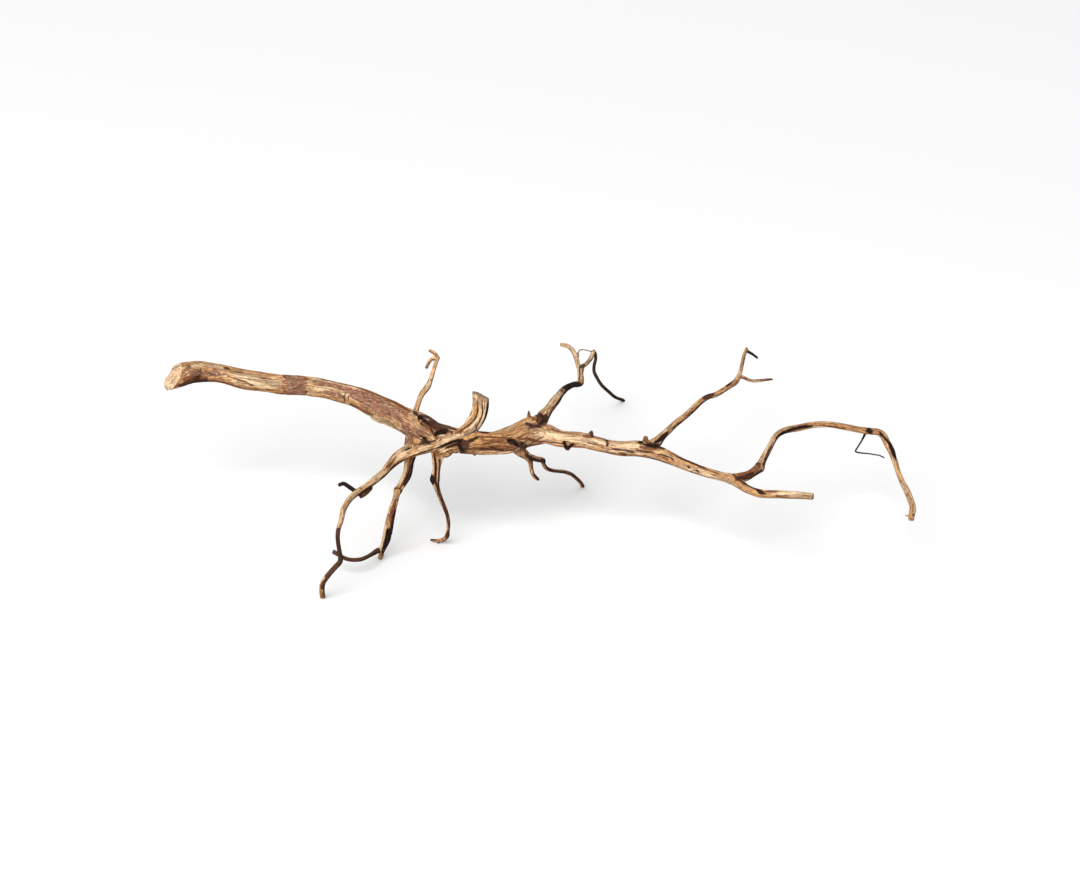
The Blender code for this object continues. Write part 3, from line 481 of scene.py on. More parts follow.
    ("side_twig", "cream"): {"side twig light": (1.4, (750, 380), (762, 380))},
    ("side_twig", "grey"): {"side twig end": (1.9, (764, 379), (774, 378))},
    ("side_twig", "rust"): {"side twig foot": (1.5, (741, 379), (748, 378))},
    ("front_root front_strand", "cream"): {"front strand": (1.5, (390, 461), (400, 455), (408, 451))},
    ("split_root", "gold"): {"split gold": (2.2, (391, 512), (387, 524), (384, 536))},
    ("split_root", "cream"): {
        "split pink": (2.2, (408, 464), (405, 473), (401, 483)),
        "knot eye": (0.8, (397, 493), (399, 496), (397, 499), (395, 496), (397, 493)),
        "split tick 1": (0.9, (390, 503), (394, 506)), "split tick 2": (0.9, (388, 511), (392, 514)),
        "split strip": (1.8, (386, 525), (382, 540), (378, 557)),
    },
    ("split_root", "rust"): {
        "split rust": (2, (396, 500), (393, 510), (390, 519)),
        "split brown": (1.5, (413, 455), (410, 466), (406, 478), (401, 488)),
    },
    ("split_root", "dark"): {"knot ring": (0.9, (395, 488), (401, 489), (402, 496), (398, 500))},
    ("split_root", "black"): {
        "split shade": (2.2, (416, 457), (413, 466), (410, 474), (405, 484)),
        # Painted shade down the split root's right side.
        "split side": (2, (396, 510), (394, 520), (392, 531), (390, 542)),
        "split hollow": (3.2, (389, 530), (388, 541), (384, 552)),
    },
    ("toe_root", "cream"): {
        "toe cream": (1.3, (431, 454), (432, 464), (433, 473)),
        "toe shin": (1.2, (436, 493), (441, 506), (444, 518), (444, 530)),
        "toe side": (1, (431, 458), (433, 469), (435, 477)),
    },
    ("toe_root", "rust"): {"toe brown": (0.9, (439, 492), (445, 506), (448, 520), (448, 533))},
    ("toe_root", "dark"): {
        "toe tip": (1.1, (436, 540), (429, 540)),
        # Painted shade down the toe root's right side.
        "toe right": (1.4, (440, 460), (440, 470), (439, 480), (439, 492), (444, 506), (448, 520),
            (450, 532)),
    },
    ("toe_root", "black"): {
        "toe groove": (1, (435, 454), (436, 466), (436, 480), (438, 490)),
        "toe knee": (2.7, (432, 476), (433, 483)),
    },
    ("toe_root toe_heel", "dark"): {"toe heel": (2.2, (448, 533), (446, 537))},
}

# Twigs whose bark is left on all round.
COATS = {
    "back_drop": "dark",
    "back_wisp": "grey",
    "side_tip": "black",
    "arch_wisp": "black",
    "front_lump": "dark",
    "front_spur": "black",
    "split_twig": "dark",
}

# Hollows and ridges in the same view: the limbs, the depth or minus the height, half the width
# and the points.
CARVINGS = {
    "hole": ("trunk stub spine_ridge", 5.5, 3.2, (438, 435), (441, 434), (445, 431)),
    "pit": ("trunk spine_ridge", 2.2, 1.8, (424, 438), (427, 439)),
    "crest hollow": ("trunk", 2.8, 3.2, (421, 417), (425, 422), (430, 426)),
    "slit": ("trunk spine_ridge", 1.6, 1.2, (431, 428), (434, 434), (438, 438)),
    "knob rim": ("trunk split_root toe_root", 1.3, 1.2, (411, 436), (413, 443), (419, 446), (427, 443)),
    "fold": (
        "trunk spine_ridge", -1.4, 1.9, (413, 414), (415, 422), (418, 427), (425, 430), (430, 435),
        (434, 440),
    ),
    "stub groove": ("stub front_root", 1.8, 1.3, (477, 402), (478, 411), (475, 419), (468, 426)),
    "stub face": ("stub", 1.4, 3, (474, 401), (474, 412), (469, 420)),
    "stub ridge": ("stub front_root", -0.8, 1.6, (475, 397), (479, 402), (481, 410), (480, 418), (474, 425)),
    "stub line": ("stub", 0.9, 0.9, (483, 400), (484, 411), (482, 420), (477, 428)),
    "strand crease": ("trunk stub", 2, 1.5, (478, 437), (468, 442), (456, 444), (444, 448)),
    "crease": ("trunk", 2, 2.4, (460, 442), (459, 452)),
    "armpit": ("trunk fork_root", 1.6, 3, (510, 441), (518, 445)),
    "collar": ("trunk back_branch shoulder_rise", 1.6, 2.6, (537, 414), (541, 419), (537, 425)),
    "shelf": ("trunk", 0.8, 3.4, (376, 424), (383, 427), (390, 431)),
    "ring edge 1": ("trunk", 0.7, 0.9, (283, 377), (284, 386), (284, 395)),
    "ring edge 2": ("trunk", 0.7, 0.9, (307, 379), (307, 388), (306, 397)),
    "scar": ("trunk", 0.9, 1, (346, 393), (344, 402)),
    "bark edge": ("trunk", 0.8, 1, (368, 407), (380, 411), (390, 418), (400, 424)),
    "ridge line": ("trunk", 0.8, 1, (345, 387), (360, 393), (375, 400), (392, 407)),
    "splinter": ("trunk lower_stub", 1.4, 2, (564, 443), (572, 445)),
    "nick": ("trunk", 1.2, 1.4, (606, 438), (607, 446)),
    "long nick 1": ("trunk", 0.9, 1, (612, 449), (622, 450), (633, 452)),
    "long nick 2": ("trunk", 0.9, 1, (636, 451), (653, 452)),
    "elbow": ("trunk side_branch", 1.4, 2, (641, 443), (656, 446)),
    "split groove": ("split_root", 1.6, 1.3, (410, 462), (407, 473), (402, 484)),
    "split hollow": ("split_root", 3, 2.7, (389, 531), (388, 541), (384, 552)),
    "knot ring": ("split_root", 0.9, 0.9, (395, 489), (401, 490), (402, 496), (398, 500)),
    "toe groove": ("toe_root", 1.1, 1, (434, 458), (436, 469), (437, 481)),
    "leg bruise": ("arch", 0.8, 1.6, (889, 444), (896, 459)),
}

FINISHES = ("gold", "cream", "grey", "rust", "plum", "dark", "black")
# Where the front view doesn't reach: how rare each patch is and how large in millimetres.
BACK_PATCHES = {
    "cream": (0.12, 26),
    "rust": (0.28, 12),
    "plum": (0.22, 30),
    "dark": (0.38, 15),
    "black": (0.47, 11),
}

# Past this place the trunk's blunt right end gets no painted edge shade.
END_FROM = 262

# The sawn face at the trunk's thick end and the broken face of the stub: a place and a direction.
SAWN_AT = (-368, -18, 154)
SAWN_FACES = (-0.71, -0.25, 0.65)
BROKEN_AT = (-60, -58, 157)
BROKEN_FACES = (0.42, 0.33, 0.85)
# Sawn wood lies this near the saw's plane, faces this much its way and is left of this place.
SAWN_NEAR = 1.2
SAWN_TURN = 0.8
SAWN_LEFT_OF = -330

# Rings along a tube, samples along the grain and the gap that keeps one limb's grain apart from
# the next one's, in millimetres, and the grain's turn in radians to the millimetre.
TUBE_STEP = 2
GRAIN_STEP = 1.5
GRAIN_GAP = 137.0
GRAIN_TWIST = 0.012
# A limb that starts with a larger radius than this has a rounder tube.
THICK_LIMB = 5
# Corners nearer than this, in metres, are one corner.
WELD_GAP = 0.000002
# How far outside a limb a place may still belong to it, and a gap larger than any.
LIMB_MARGIN = 3
FAR_AWAY = 1e9

# The relief's noises: length along the grain and how fast they change, or how wide they are,
# across it.
LUMP_LENGTH, LUMP_TURN = 26, 1.1
FLUTE_LENGTH, FLUTE_TURN = 55, 2.6
FIBRE_LENGTH, FIBRE_WIDTH = 16, 1.5
CRACK_LENGTH, CRACK_WIDTH = 45, 3.4
PATCH_LENGTH = 30
LUMP_SHARE, FLUTE_SHARE = 0.9, 1.1

# Painted shade: the wood is darker where it faces down and to the right, and darkest at its right edge.
PAINTED_SHADE_WAY = (0.76, 0.22, -0.61)
EDGE_SHADE_WAY = (0.93, 0.05, -0.36)

# The sawn face's darker and lighter growth rings.
SAWN_DARK = (0.44, 0.27, 0.15)
SAWN_LIGHT = (0.62, 0.45, 0.29)

# A stroke's width at its ends, as a share of its middle's, and the steps between its points.
STROKE_END = 0.6
STROKE_STEPS = 4

# The stage in metres and degrees. The place that the camera looks at and its sensor's width are in
# millimetres.
FLOOR_SIZE = 16
LOOK_AT = (-1, 50, 46.8)
CAMERA_TILT = 60
CAMERA_DISTANCE = 12.11
SENSOR_WIDTH = 36
VIEW_LENGTH = 60
SOFTBOX_WAY = (-0.35, -0.90, 1.0)
SOFTBOX_DISTANCE = 8
SOFTBOX_SIZE = 6


def fine_length(name, description, default, least=0):
    return bpy.props.FloatProperty(
        name=name, description=description, default=default, min=least, unit="LENGTH", precision=5)


def wood_colour(name, description, default):
    return bpy.props.FloatVectorProperty(
        name=name, description=description, default=default, subtype="COLOR", min=0, max=1)


class WoodSettings(bpy.types.PropertyGroup):
    voxel: fine_length("Skin detail", "Edge length of the remeshed skin", 0.00065, 0.0003)
    fibre: fine_length("Fibre relief", "Height of the raised fibres", 0.00035)
    crack: fine_length("Crack depth", "Depth of the drying cracks along the grain", 0.0009)
    faces: bpy.props.IntProperty(
        name="Triangles", description="Triangles left in the finished skin",
        default=190000, min=10000)
    seed: bpy.props.IntProperty(
        name="Seed", description="Start of the grain pattern", default=7)
    bare: wood_colour("Bare wood", "Colour of clean bare wood", (0.38, 0.203, 0.095))
    cream: wood_colour("Bleached wood", "Colour of bleached wood", (0.53, 0.375, 0.228))
    gold: wood_colour("Fresh wood", "Colour of golden, freshly bared wood", (0.47, 0.245, 0.096))
    grey: wood_colour("Weathered wood", "Colour of grey, weathered wood", (0.28, 0.21, 0.15))
    # The rust, bark and stain colours are also laid as painted shade: on the sides that face down and right,
    # under limbs and in creases, crotches and hollows.
    rust: wood_colour("Tannin streaks", "Colour of the rust brown streaks", (0.15, 0.050, 0.017))
    plum: wood_colour("Inner bark", "Colour of the inner bark that is left", (0.225, 0.105, 0.062))
    dark: wood_colour("Outer bark", "Colour of bark in hollows and on twigs", (0.042, 0.0155, 0.0085))
    black: wood_colour("Stain", "Colour of the black stains and sockets", (0.016, 0.007, 0.004))


class StageSettings(bpy.types.PropertyGroup):
    key: bpy.props.FloatProperty(
        name="Softbox power", description="Power of the softbox at the front left",
        default=1000, min=0, unit="POWER")
    sky: bpy.props.FloatProperty(
        name="Room light", description="Strength of the even white light all round",
        default=0.72, min=0)
    floor_tone: bpy.props.FloatProperty(
        name="Floor tone", description="How white the floor is", default=0.625, min=0, max=1)
    lens: bpy.props.FloatProperty(
        name="Lens", description="Focal length of the camera in millimetres",
        default=400, min=20)


def between(a, b, c, d, t):
    """The value at t from b to c of a smooth line through all four."""
    bend = (2 * a - 5 * b + 4 * c - d) * t * t + (3 * b - a - 3 * c + d) * t ** 3
    return 0.5 * (2 * b + (c - a) * t + bend)


def smooth_route(points, step):
    """Add rings between the given points, about one to each step."""
    ends = [points[0]] + list(points) + [points[-1]]
    route = []
    for a, b, c, d in zip(ends, ends[1:], ends[2:], ends[3:]):
        count = max(1, round(math.dist(b[:3], c[:3]) / step))
        for ring in range(count):
            t = ring / count
            route.append([between(*four, t) for four in zip(a, b, c, d)])
    route.append(list(points[-1]))
    return route


def nothing_selected():
    if bpy.context.mode != "OBJECT":
        bpy.ops.object.mode_set(mode="OBJECT")
    bpy.ops.object.select_all(action="DESELECT")


def make_active(piece):
    nothing_selected()
    piece.select_set(True)
    bpy.context.view_layer.objects.active = piece


def apply_modifier(piece, kind, **settings):
    make_active(piece)
    modifier = piece.modifiers.new(kind.lower(), kind)
    for name, value in settings.items():
        setattr(modifier, name, value)
    bpy.ops.object.modifier_apply(modifier=modifier.name)


def add_tube(name, points):
    """A closed tube along a limb's route, as a mesh."""
    route = smooth_route(points, TUBE_STEP)
    nothing_selected()
    curve = bpy.data.curves.new(name, "CURVE")
    curve.dimensions = "3D"
    curve.bevel_depth = 1
    curve.bevel_resolution = 8 if points[0][3] > THICK_LIMB else 4
    curve.use_fill_caps = True
    line = curve.splines.new("POLY")
    line.points.add(len(route) - 1)
    for point, (x, y, z, radius) in zip(line.points, route):
        place = (Vector((x, y, z)) + HOME) * MM
        point.co = (place.x, place.y, place.z, 1)
        point.radius = radius * MM
    tube = bpy.data.objects.new(name, curve)
    bpy.context.scene.collection.objects.link(tube)
    make_active(tube)
    bpy.ops.object.convert(target="MESH")
    weld(tube)
    return tube


def edit_all(piece):
    make_active(piece)
    bpy.ops.object.mode_set(mode="EDIT")
    bpy.ops.mesh.select_all(action="SELECT")


def weld(piece):
    edit_all(piece)
    bpy.ops.mesh.remove_doubles(threshold=WELD_GAP)
    bpy.ops.mesh.normals_make_consistent(inside=False)
    bpy.ops.object.mode_set(mode="OBJECT")


def saw_off(piece, place, faces):
    """Cut away what lies past a plane and close the cut."""
    edit_all(piece)
    bpy.ops.mesh.bisect(
        plane_co=(Vector(place) + HOME) * MM, plane_no=Vector(faces),
        use_fill=True, clear_outer=True)
    bpy.ops.object.mode_set(mode="OBJECT")


def add_knot(name, ball):
    x, y, z, radius = ball
    nothing_selected()
    bpy.ops.mesh.primitive_ico_sphere_add(
        subdivisions=4, radius=radius * MM, location=(Vector((x, y, z)) + HOME) * MM)
    knot = bpy.context.object
    knot.name = name
    bpy.ops.object.transform_apply(location=True, rotation=False, scale=False)
    return knot


def grow_skin(settings):
    """Join every limb and knot, and remesh them into one closed skin."""
    pieces = []
    for name, (_, points) in LIMBS.items():
        tube = add_tube(name, points)
        if name == "trunk":
            saw_off(tube, SAWN_AT, SAWN_FACES)
        if name == "stub":
            saw_off(tube, BROKEN_AT, BROKEN_FACES)
        pieces.append(tube)
    for name, ball in KNOTS.items():
        pieces.append(add_knot(name, ball))
    nothing_selected()
    for piece in pieces:
        piece.select_set(True)
    bpy.context.view_layer.objects.active = pieces[0]
    bpy.ops.object.join()
    skin = bpy.context.object
    skin.name = "weathered_branch"
    skin.data.name = "weathered_branch"
    apply_modifier(skin, "REMESH", mode="VOXEL", voxel_size=settings.voxel, adaptivity=0)
    apply_modifier(skin, "SMOOTH", factor=0.5, iterations=5)
    return skin


class Grain:
    """Where each place on the skin lies along and around the limb that it belongs to."""

    def __init__(self):
        self.limbs = []
        start = 0.0
        for name, (depth, points) in LIMBS.items():
            route = np.array(smooth_route(points, GRAIN_STEP))
            place = route[:, :3] + np.array(HOME)
            steps = np.linalg.norm(np.diff(place, axis=0), axis=1)
            along = np.concatenate([[0], np.cumsum(steps)])
            tangent = np.gradient(place, axis=0)
            tangent /= np.linalg.norm(tangent, axis=1)[:, None] + 1e-9
            side = self.carry(tangent)
            tree = kdtree.KDTree(len(place))
            for number, spot in enumerate(place):
                tree.insert(spot, number)
            tree.balance()
            self.limbs.append({
                "name": name, "place": place, "radius": route[:, 3], "along": along + start,
                "side": side, "up": np.cross(tangent, side), "tangent": tangent, "tree": tree,
                "depth": depth, "low": (place - route[:, 3:]).min(0) - LIMB_MARGIN,
                "high": (place + route[:, 3:]).max(0) + LIMB_MARGIN,
            })
            start += along[-1] + GRAIN_GAP

    @staticmethod
    def carry(tangent):
        """A side direction carried along a route without twist."""
        first = np.array([0, 0, 1.0]) if abs(tangent[0][2]) < 0.8 else np.array([0, 1.0, 0])
        side = np.cross(tangent[0], first)
        sides = []
        for way in tangent:
            side = side - way * side.dot(way)
            side = side / (np.linalg.norm(side) + 1e-9)
            sides.append(side)
        return np.array(sides)

    def locate(self, spots):
        """For each place: its limb, how far along, the two offsets, radius and flute depth."""
        count = len(spots)
        best = np.full(count, FAR_AWAY)
        limb = np.zeros(count, int)
        sample = np.zeros(count, int)
        for number, one in enumerate(self.limbs):
            inside = np.all((spots > one["low"]) & (spots < one["high"]), axis=1)
            find = one["tree"].find
            radius = one["radius"]
            for at in np.flatnonzero(inside):
                _, found, gap = find(spots[at])
                gap = abs(gap - radius[found]) / (radius[found] + 2)
                if gap < best[at]:
                    best[at] = gap
                    limb[at] = number
                    sample[at] = found
        along = np.zeros(count)
        across = np.zeros((count, 2))
        size = np.zeros(count)
        depth = np.zeros(count)
        for number, one in enumerate(self.limbs):
            mine = np.flatnonzero(limb == number)
            if not len(mine):
                continue
            at = sample[mine]
            off = spots[mine] - one["place"][at]
            along[mine] = one["along"][at] + np.einsum("ij,ij->i", off, one["tangent"][at])
            across[mine, 0] = np.einsum("ij,ij->i", off, one["side"][at])
            across[mine, 1] = np.einsum("ij,ij->i", off, one["up"][at])
            size[mine] = one["radius"][at]
            depth[mine] = one["depth"]
        return limb, along, across, size, depth


def read_vectors(mesh, kind):
    flat = np.zeros(len(mesh.vertices) * 3, np.float32)
    mesh.vertices.foreach_get(kind, flat)
    return flat.reshape(-1, 3).astype(float)


def read_places(mesh):
    """The skin's corners in millimetres."""
    return read_vectors(mesh, "co") / MM


def noise_at(a, b, c, offset=0.0):
    """Smooth noise, about -1 to 1, at many places."""
    pick = noise.noise
    return np.array([
        pick((x + offset, y - offset, z + 2 * offset))
        for x, y, z in zip(a.tolist(), b.tolist(), c.tolist())
    ])


def soft_step(value, low, high):
    t = np.clip((value - low) / (high - low), 0, 1)
    return t * t * (3 - 2 * t)


def front_view(spots):
    """Where each place is seen from the front: from the left and from the top."""
    home = spots - np.array(HOME)
    across = home[:, 0] + FRONT_MIDDLE[0]
    down = FRONT_MIDDLE[1] + FRONT_LIFT - VIEW_SINE * home[:, 1] - VIEW_COSINE * home[:, 2]
    return across, down


def stroke_gap(across, down, points, half):
    """How far each seen place is from a stroke that thins to its ends, in its half widths."""
    ends = [points[0]] + list(points) + [points[-1]]
    line = []
    for four in zip(ends, ends[1:], ends[2:], ends[3:]):
        for step in range(STROKE_STEPS):
            line.append([between(*part, step / STROKE_STEPS) for part in zip(*four)])
    line.append(list(points[-1]))
    best = np.full(len(across), FAR_AWAY)
    for number, ((left, top), (right, low)) in enumerate(zip(line, line[1:])):
        run, fall = right - left, low - top
        length = run * run + fall * fall + 1e-9
        t = np.clip(((across - left) * run + (down - top) * fall) / length, 0, 1)
        gap = np.hypot(across - left - t * run, down - top - t * fall)
        share = (number + t) / (len(line) - 1)
        thin = STROKE_END + (1 - STROKE_END) * np.sin(math.pi * share)
        best = np.minimum(best, gap / (half * thin))
    return best


def seen_on(limb, names):
    """Which places lie on the named limbs."""
    order = list(LIMBS)
    return np.isin(limb, [order.index(name) for name in names.split()])


def facing_front(normals):
    """1 where the surface faces the viewer or is seen edge on, down to 0 behind."""
    return soft_step(normals @ np.array((0, -VIEW_COSINE, VIEW_SINE)), -0.45, 0.0)


def carve(spots, normals, limb):
    """How far each place is pressed in, or raised, by the hollows and ridges."""
    across, down = front_view(spots)
    front = facing_front(normals)
    depth = np.zeros(len(spots))
    for names, deep, half, *points in CARVINGS.values():
        gap = stroke_gap(across, down, points, half)
        press = deep * soft_step(1.7 - gap, 0, 1.4) * seen_on(limb, names)
        depth += press * front
    return depth


def work_surface(skin, grain, settings):
    """Press flutes, fibres and cracks into the skin along each limb's own grain."""
    mesh = skin.data
    spots = read_places(mesh)
    normals = read_vectors(mesh, "normal")
    limb, along, across, size, depth = grain.locate(spots)
    reach = np.linalg.norm(across, axis=1) + 1e-6
    ring = across / reach[:, None]
    seed = settings.seed
    twist = along * GRAIN_TWIST
    turn_x = ring[:, 0] * np.cos(twist) - ring[:, 1] * np.sin(twist)
    turn_y = ring[:, 0] * np.sin(twist) + ring[:, 1] * np.cos(twist)
    lumps = noise_at(along / LUMP_LENGTH, turn_x * LUMP_TURN, turn_y * LUMP_TURN, seed)
    flutes = noise_at(along / FLUTE_LENGTH, turn_x * FLUTE_TURN, turn_y * FLUTE_TURN, seed + 11)
    reach_x, reach_y = turn_x * reach, turn_y * reach
    fibres = noise_at(along / FIBRE_LENGTH, reach_x / FIBRE_WIDTH, reach_y / FIBRE_WIDTH, seed + 23)
    lines = noise_at(along / CRACK_LENGTH, reach_x / CRACK_WIDTH, reach_y / CRACK_WIDTH, seed + 37)
    cracks = soft_step(0.10 - np.abs(lines), 0, 0.10) * soft_step(size, 2, 6)
    patchy = soft_step(noise_at(along / PATCH_LENGTH, turn_x, turn_y, seed + 51), -0.1, 0.35)
    move = depth * size * (LUMP_SHARE * lumps + FLUTE_SHARE * flutes)
    move += settings.fibre / MM * fibres * np.clip(size / 6, 0.35, 1.2)
    move -= settings.crack / MM * cracks * patchy
    move -= carve(spots, normals, limb)
    spots += normals * move[:, None]
    write_places(mesh, spots)


def write_places(mesh, spots):
    """Put the corners back, never outside the part's own box."""
    low = np.array(CAD_BOX[0]) / MM
    high = np.array(CAD_BOX[1]) / MM
    kept = np.clip(spots, low, high) * MM
    mesh.vertices.foreach_set("co", kept.astype(np.float32).ravel())
    mesh.update()


def thin_out(skin, settings):
    """Spend the triangles where the relief is."""
    skin.data.calc_loop_triangles()
    share = settings.faces / len(skin.data.loop_triangles)
    if share < 1:
        apply_modifier(skin, "DECIMATE", ratio=share)
    write_places(skin.data, read_places(skin.data))


def weathering_and_shade(spots, normals, limb, size, sawn):
    """The reach of each finish: over 0.5 inside it, and less outside."""
    across, down = front_view(spots)
    front = facing_front(normals)
    reach = {finish: np.zeros(len(spots)) for finish in FINISHES}
    for (names, finish), strokes in MARKS.items():
        where = sawn if names == "sawn" else seen_on(limb, names) * (1 - sawn)
        for half, *points in strokes.values():
            gap = stroke_gap(across, down, points, half)
            here = np.clip(1.5 - gap, 0, 1.5) * where * front
            reach[finish] = np.maximum(reach[finish], here)
    for name, finish in COATS.items():
        reach[finish] = np.maximum(reach[finish], 1.0 * seen_on(limb, name))
    hidden = (1 - front) * soft_step(size, 1.5, 5) * (1 - sawn)
    for number, (finish, (share, scale)) in enumerate(BACK_PATCHES.items()):
        patch = noise_at(*(spots / scale).T, 17.0 * number + 5)
        here = np.clip(0.5 + 2.2 * (patch - share), 0, 1.5) * hidden
        reach[finish] = np.maximum(reach[finish], here)
    return reach


def paint(skin, grain):
    """Keep the grain's own coordinates, the weathering and the painted shade on the skin, for the material.
    """
    mesh = skin.data
    spots = read_places(mesh)
    normals = read_vectors(mesh, "normal")
    limb, along, across, size, _ = grain.locate(spots)
    home = spots - np.array(HOME)
    length = round(Vector(SAWN_FACES).length, 3)
    near = np.abs((home - np.array(SAWN_AT)) @ np.array(SAWN_FACES) / length) < SAWN_NEAR
    facing = normals @ np.array(SAWN_FACES) > SAWN_TURN
    sawn = (near & facing & (home[:, 0] < SAWN_LEFT_OF)).astype(float)
    for finish, reach in weathering_and_shade(spots, normals, limb, size, sawn).items():
        keep(mesh, finish, reach)
    keep(mesh, "sawn", sawn)
    # The painted edge shade is left off the sawn face and the trunk's blunt end.
    blunt_end = (home[:, 0] > END_FROM) & (limb == list(LIMBS).index("trunk"))
    keep(mesh, "edged", (1 - sawn) * (1 - blunt_end))
    keep(mesh, "grain", np.column_stack([along, across]), "FLOAT_VECTOR", "vector")


def keep(mesh, name, values, kind="FLOAT", field="value"):
    layer = mesh.attributes.new(name, kind, "POINT")
    layer.data.foreach_set(field, values.astype(np.float32).ravel())


class Nodes:
    """Short calls for building a material's node tree."""

    def __init__(self, material):
        material.use_nodes = True
        self.tree = material.node_tree
        self.shader = self.tree.nodes["Principled BSDF"]

    def add(self, kind, **settings):
        node = self.tree.nodes.new(kind)
        for name, value in settings.items():
            setattr(node, name, value)
        return node

    def fill_in(self, node, **values):
        for name, value in values.items():
            node.inputs[name.replace("_", " ")].default_value = value

    def link(self, source, target):
        self.tree.links.new(source, target)

    def attribute(self, name):
        node = self.add("ShaderNodeAttribute", attribute_name=name)
        return node.outputs["Vector"] if name == "grain" else node.outputs["Fac"]

    def stretched(self, source, scale):
        node = self.add("ShaderNodeMapping")
        self.fill_in(node, Scale=scale)
        self.link(source, node.inputs["Vector"])
        return node.outputs["Vector"]

    def noise(self, source, scale, detail=4, rough=0.55, twist=0.0):
        node = self.add("ShaderNodeTexNoise")
        self.fill_in(node, Scale=scale, Detail=detail, Roughness=rough, Distortion=twist)
        self.link(source, node.inputs["Vector"])
        return node.outputs["Fac"]

    def fibres(self, grain, along, across, detail=4, rough=0.55, twist=0.0):
        """Noise drawn out along the grain. The smaller a scale, the longer or wider its spots."""
        return self.noise(self.stretched(grain, (along, across, across)), 1.0, detail, rough, twist)

    def ramp(self, source, low, high, start=0.0, end=1.0):
        node = self.add("ShaderNodeMapRange", interpolation_type="SMOOTHSTEP")
        self.fill_in(node, From_Min=low, From_Max=high, To_Min=start, To_Max=end)
        self.link(source, node.inputs["Value"])
        return node.outputs["Result"]

    def math(self, how, first, second):
        node = self.add("ShaderNodeMath", operation=how)
        for socket, value in zip(node.inputs, (first, second)):
            if isinstance(value, (int, float)):
                socket.default_value = value
            else:
                self.link(value, socket)
        return node.outputs["Value"]

    def side(self, geometry, way, ragged):
        """How far the surface faces one way, with a ragged edge."""
        node = self.add("ShaderNodeVectorMath", operation="DOT_PRODUCT")
        self.link(geometry.outputs["Normal"], node.inputs[0])
        node.inputs[1].default_value = way
        wander = self.math("MULTIPLY", self.math("SUBTRACT", ragged, 0.5), 0.9)
        return self.math("ADD", node.outputs["Value"], wander)

    def lay(self, under, over, source, low, high, cover=1.0):
        """Lay one colour over another where a pattern goes from low to high."""
        return self.mix(self.ramp(source, low, high, 0, cover), under, over)

    def finish(self, under, name, settings, ragged, grain, soft, cover=1.0):
        """Lay one finish over the wood where its attribute says, with a ragged edge."""
        reach = self.math("ADD", self.attribute(name), ragged)
        own = tuple(getattr(settings, name))
        lighter = tuple(1.25 * part + 0.005 for part in own)
        darker = tuple(0.5 * part for part in own)
        over = self.lay(darker, lighter, grain, 0.40, 0.60)
        return self.lay(under, over, reach, 0.5 - soft, 0.5 + soft, cover)

    def shade(self, colour, tone):
        """Multiply a colour by a tone."""
        node = self.add("ShaderNodeVectorMath", operation="SCALE")
        self.link(colour, node.inputs[0])
        self.link(tone, node.inputs["Scale"])
        return node.outputs["Vector"]

    def mix(self, amount, under, over):
        node = self.add("ShaderNodeMix", data_type="RGBA", blend_type="MIX")
        for socket, value in ((0, amount), (6, under), (7, over)):
            if isinstance(value, (int, float)):
                node.inputs[socket].default_value = value
            elif isinstance(value, tuple):
                node.inputs[socket].default_value = (*value[:3], 1)
            else:
                self.link(value, node.inputs[socket])
        return node.outputs[2]


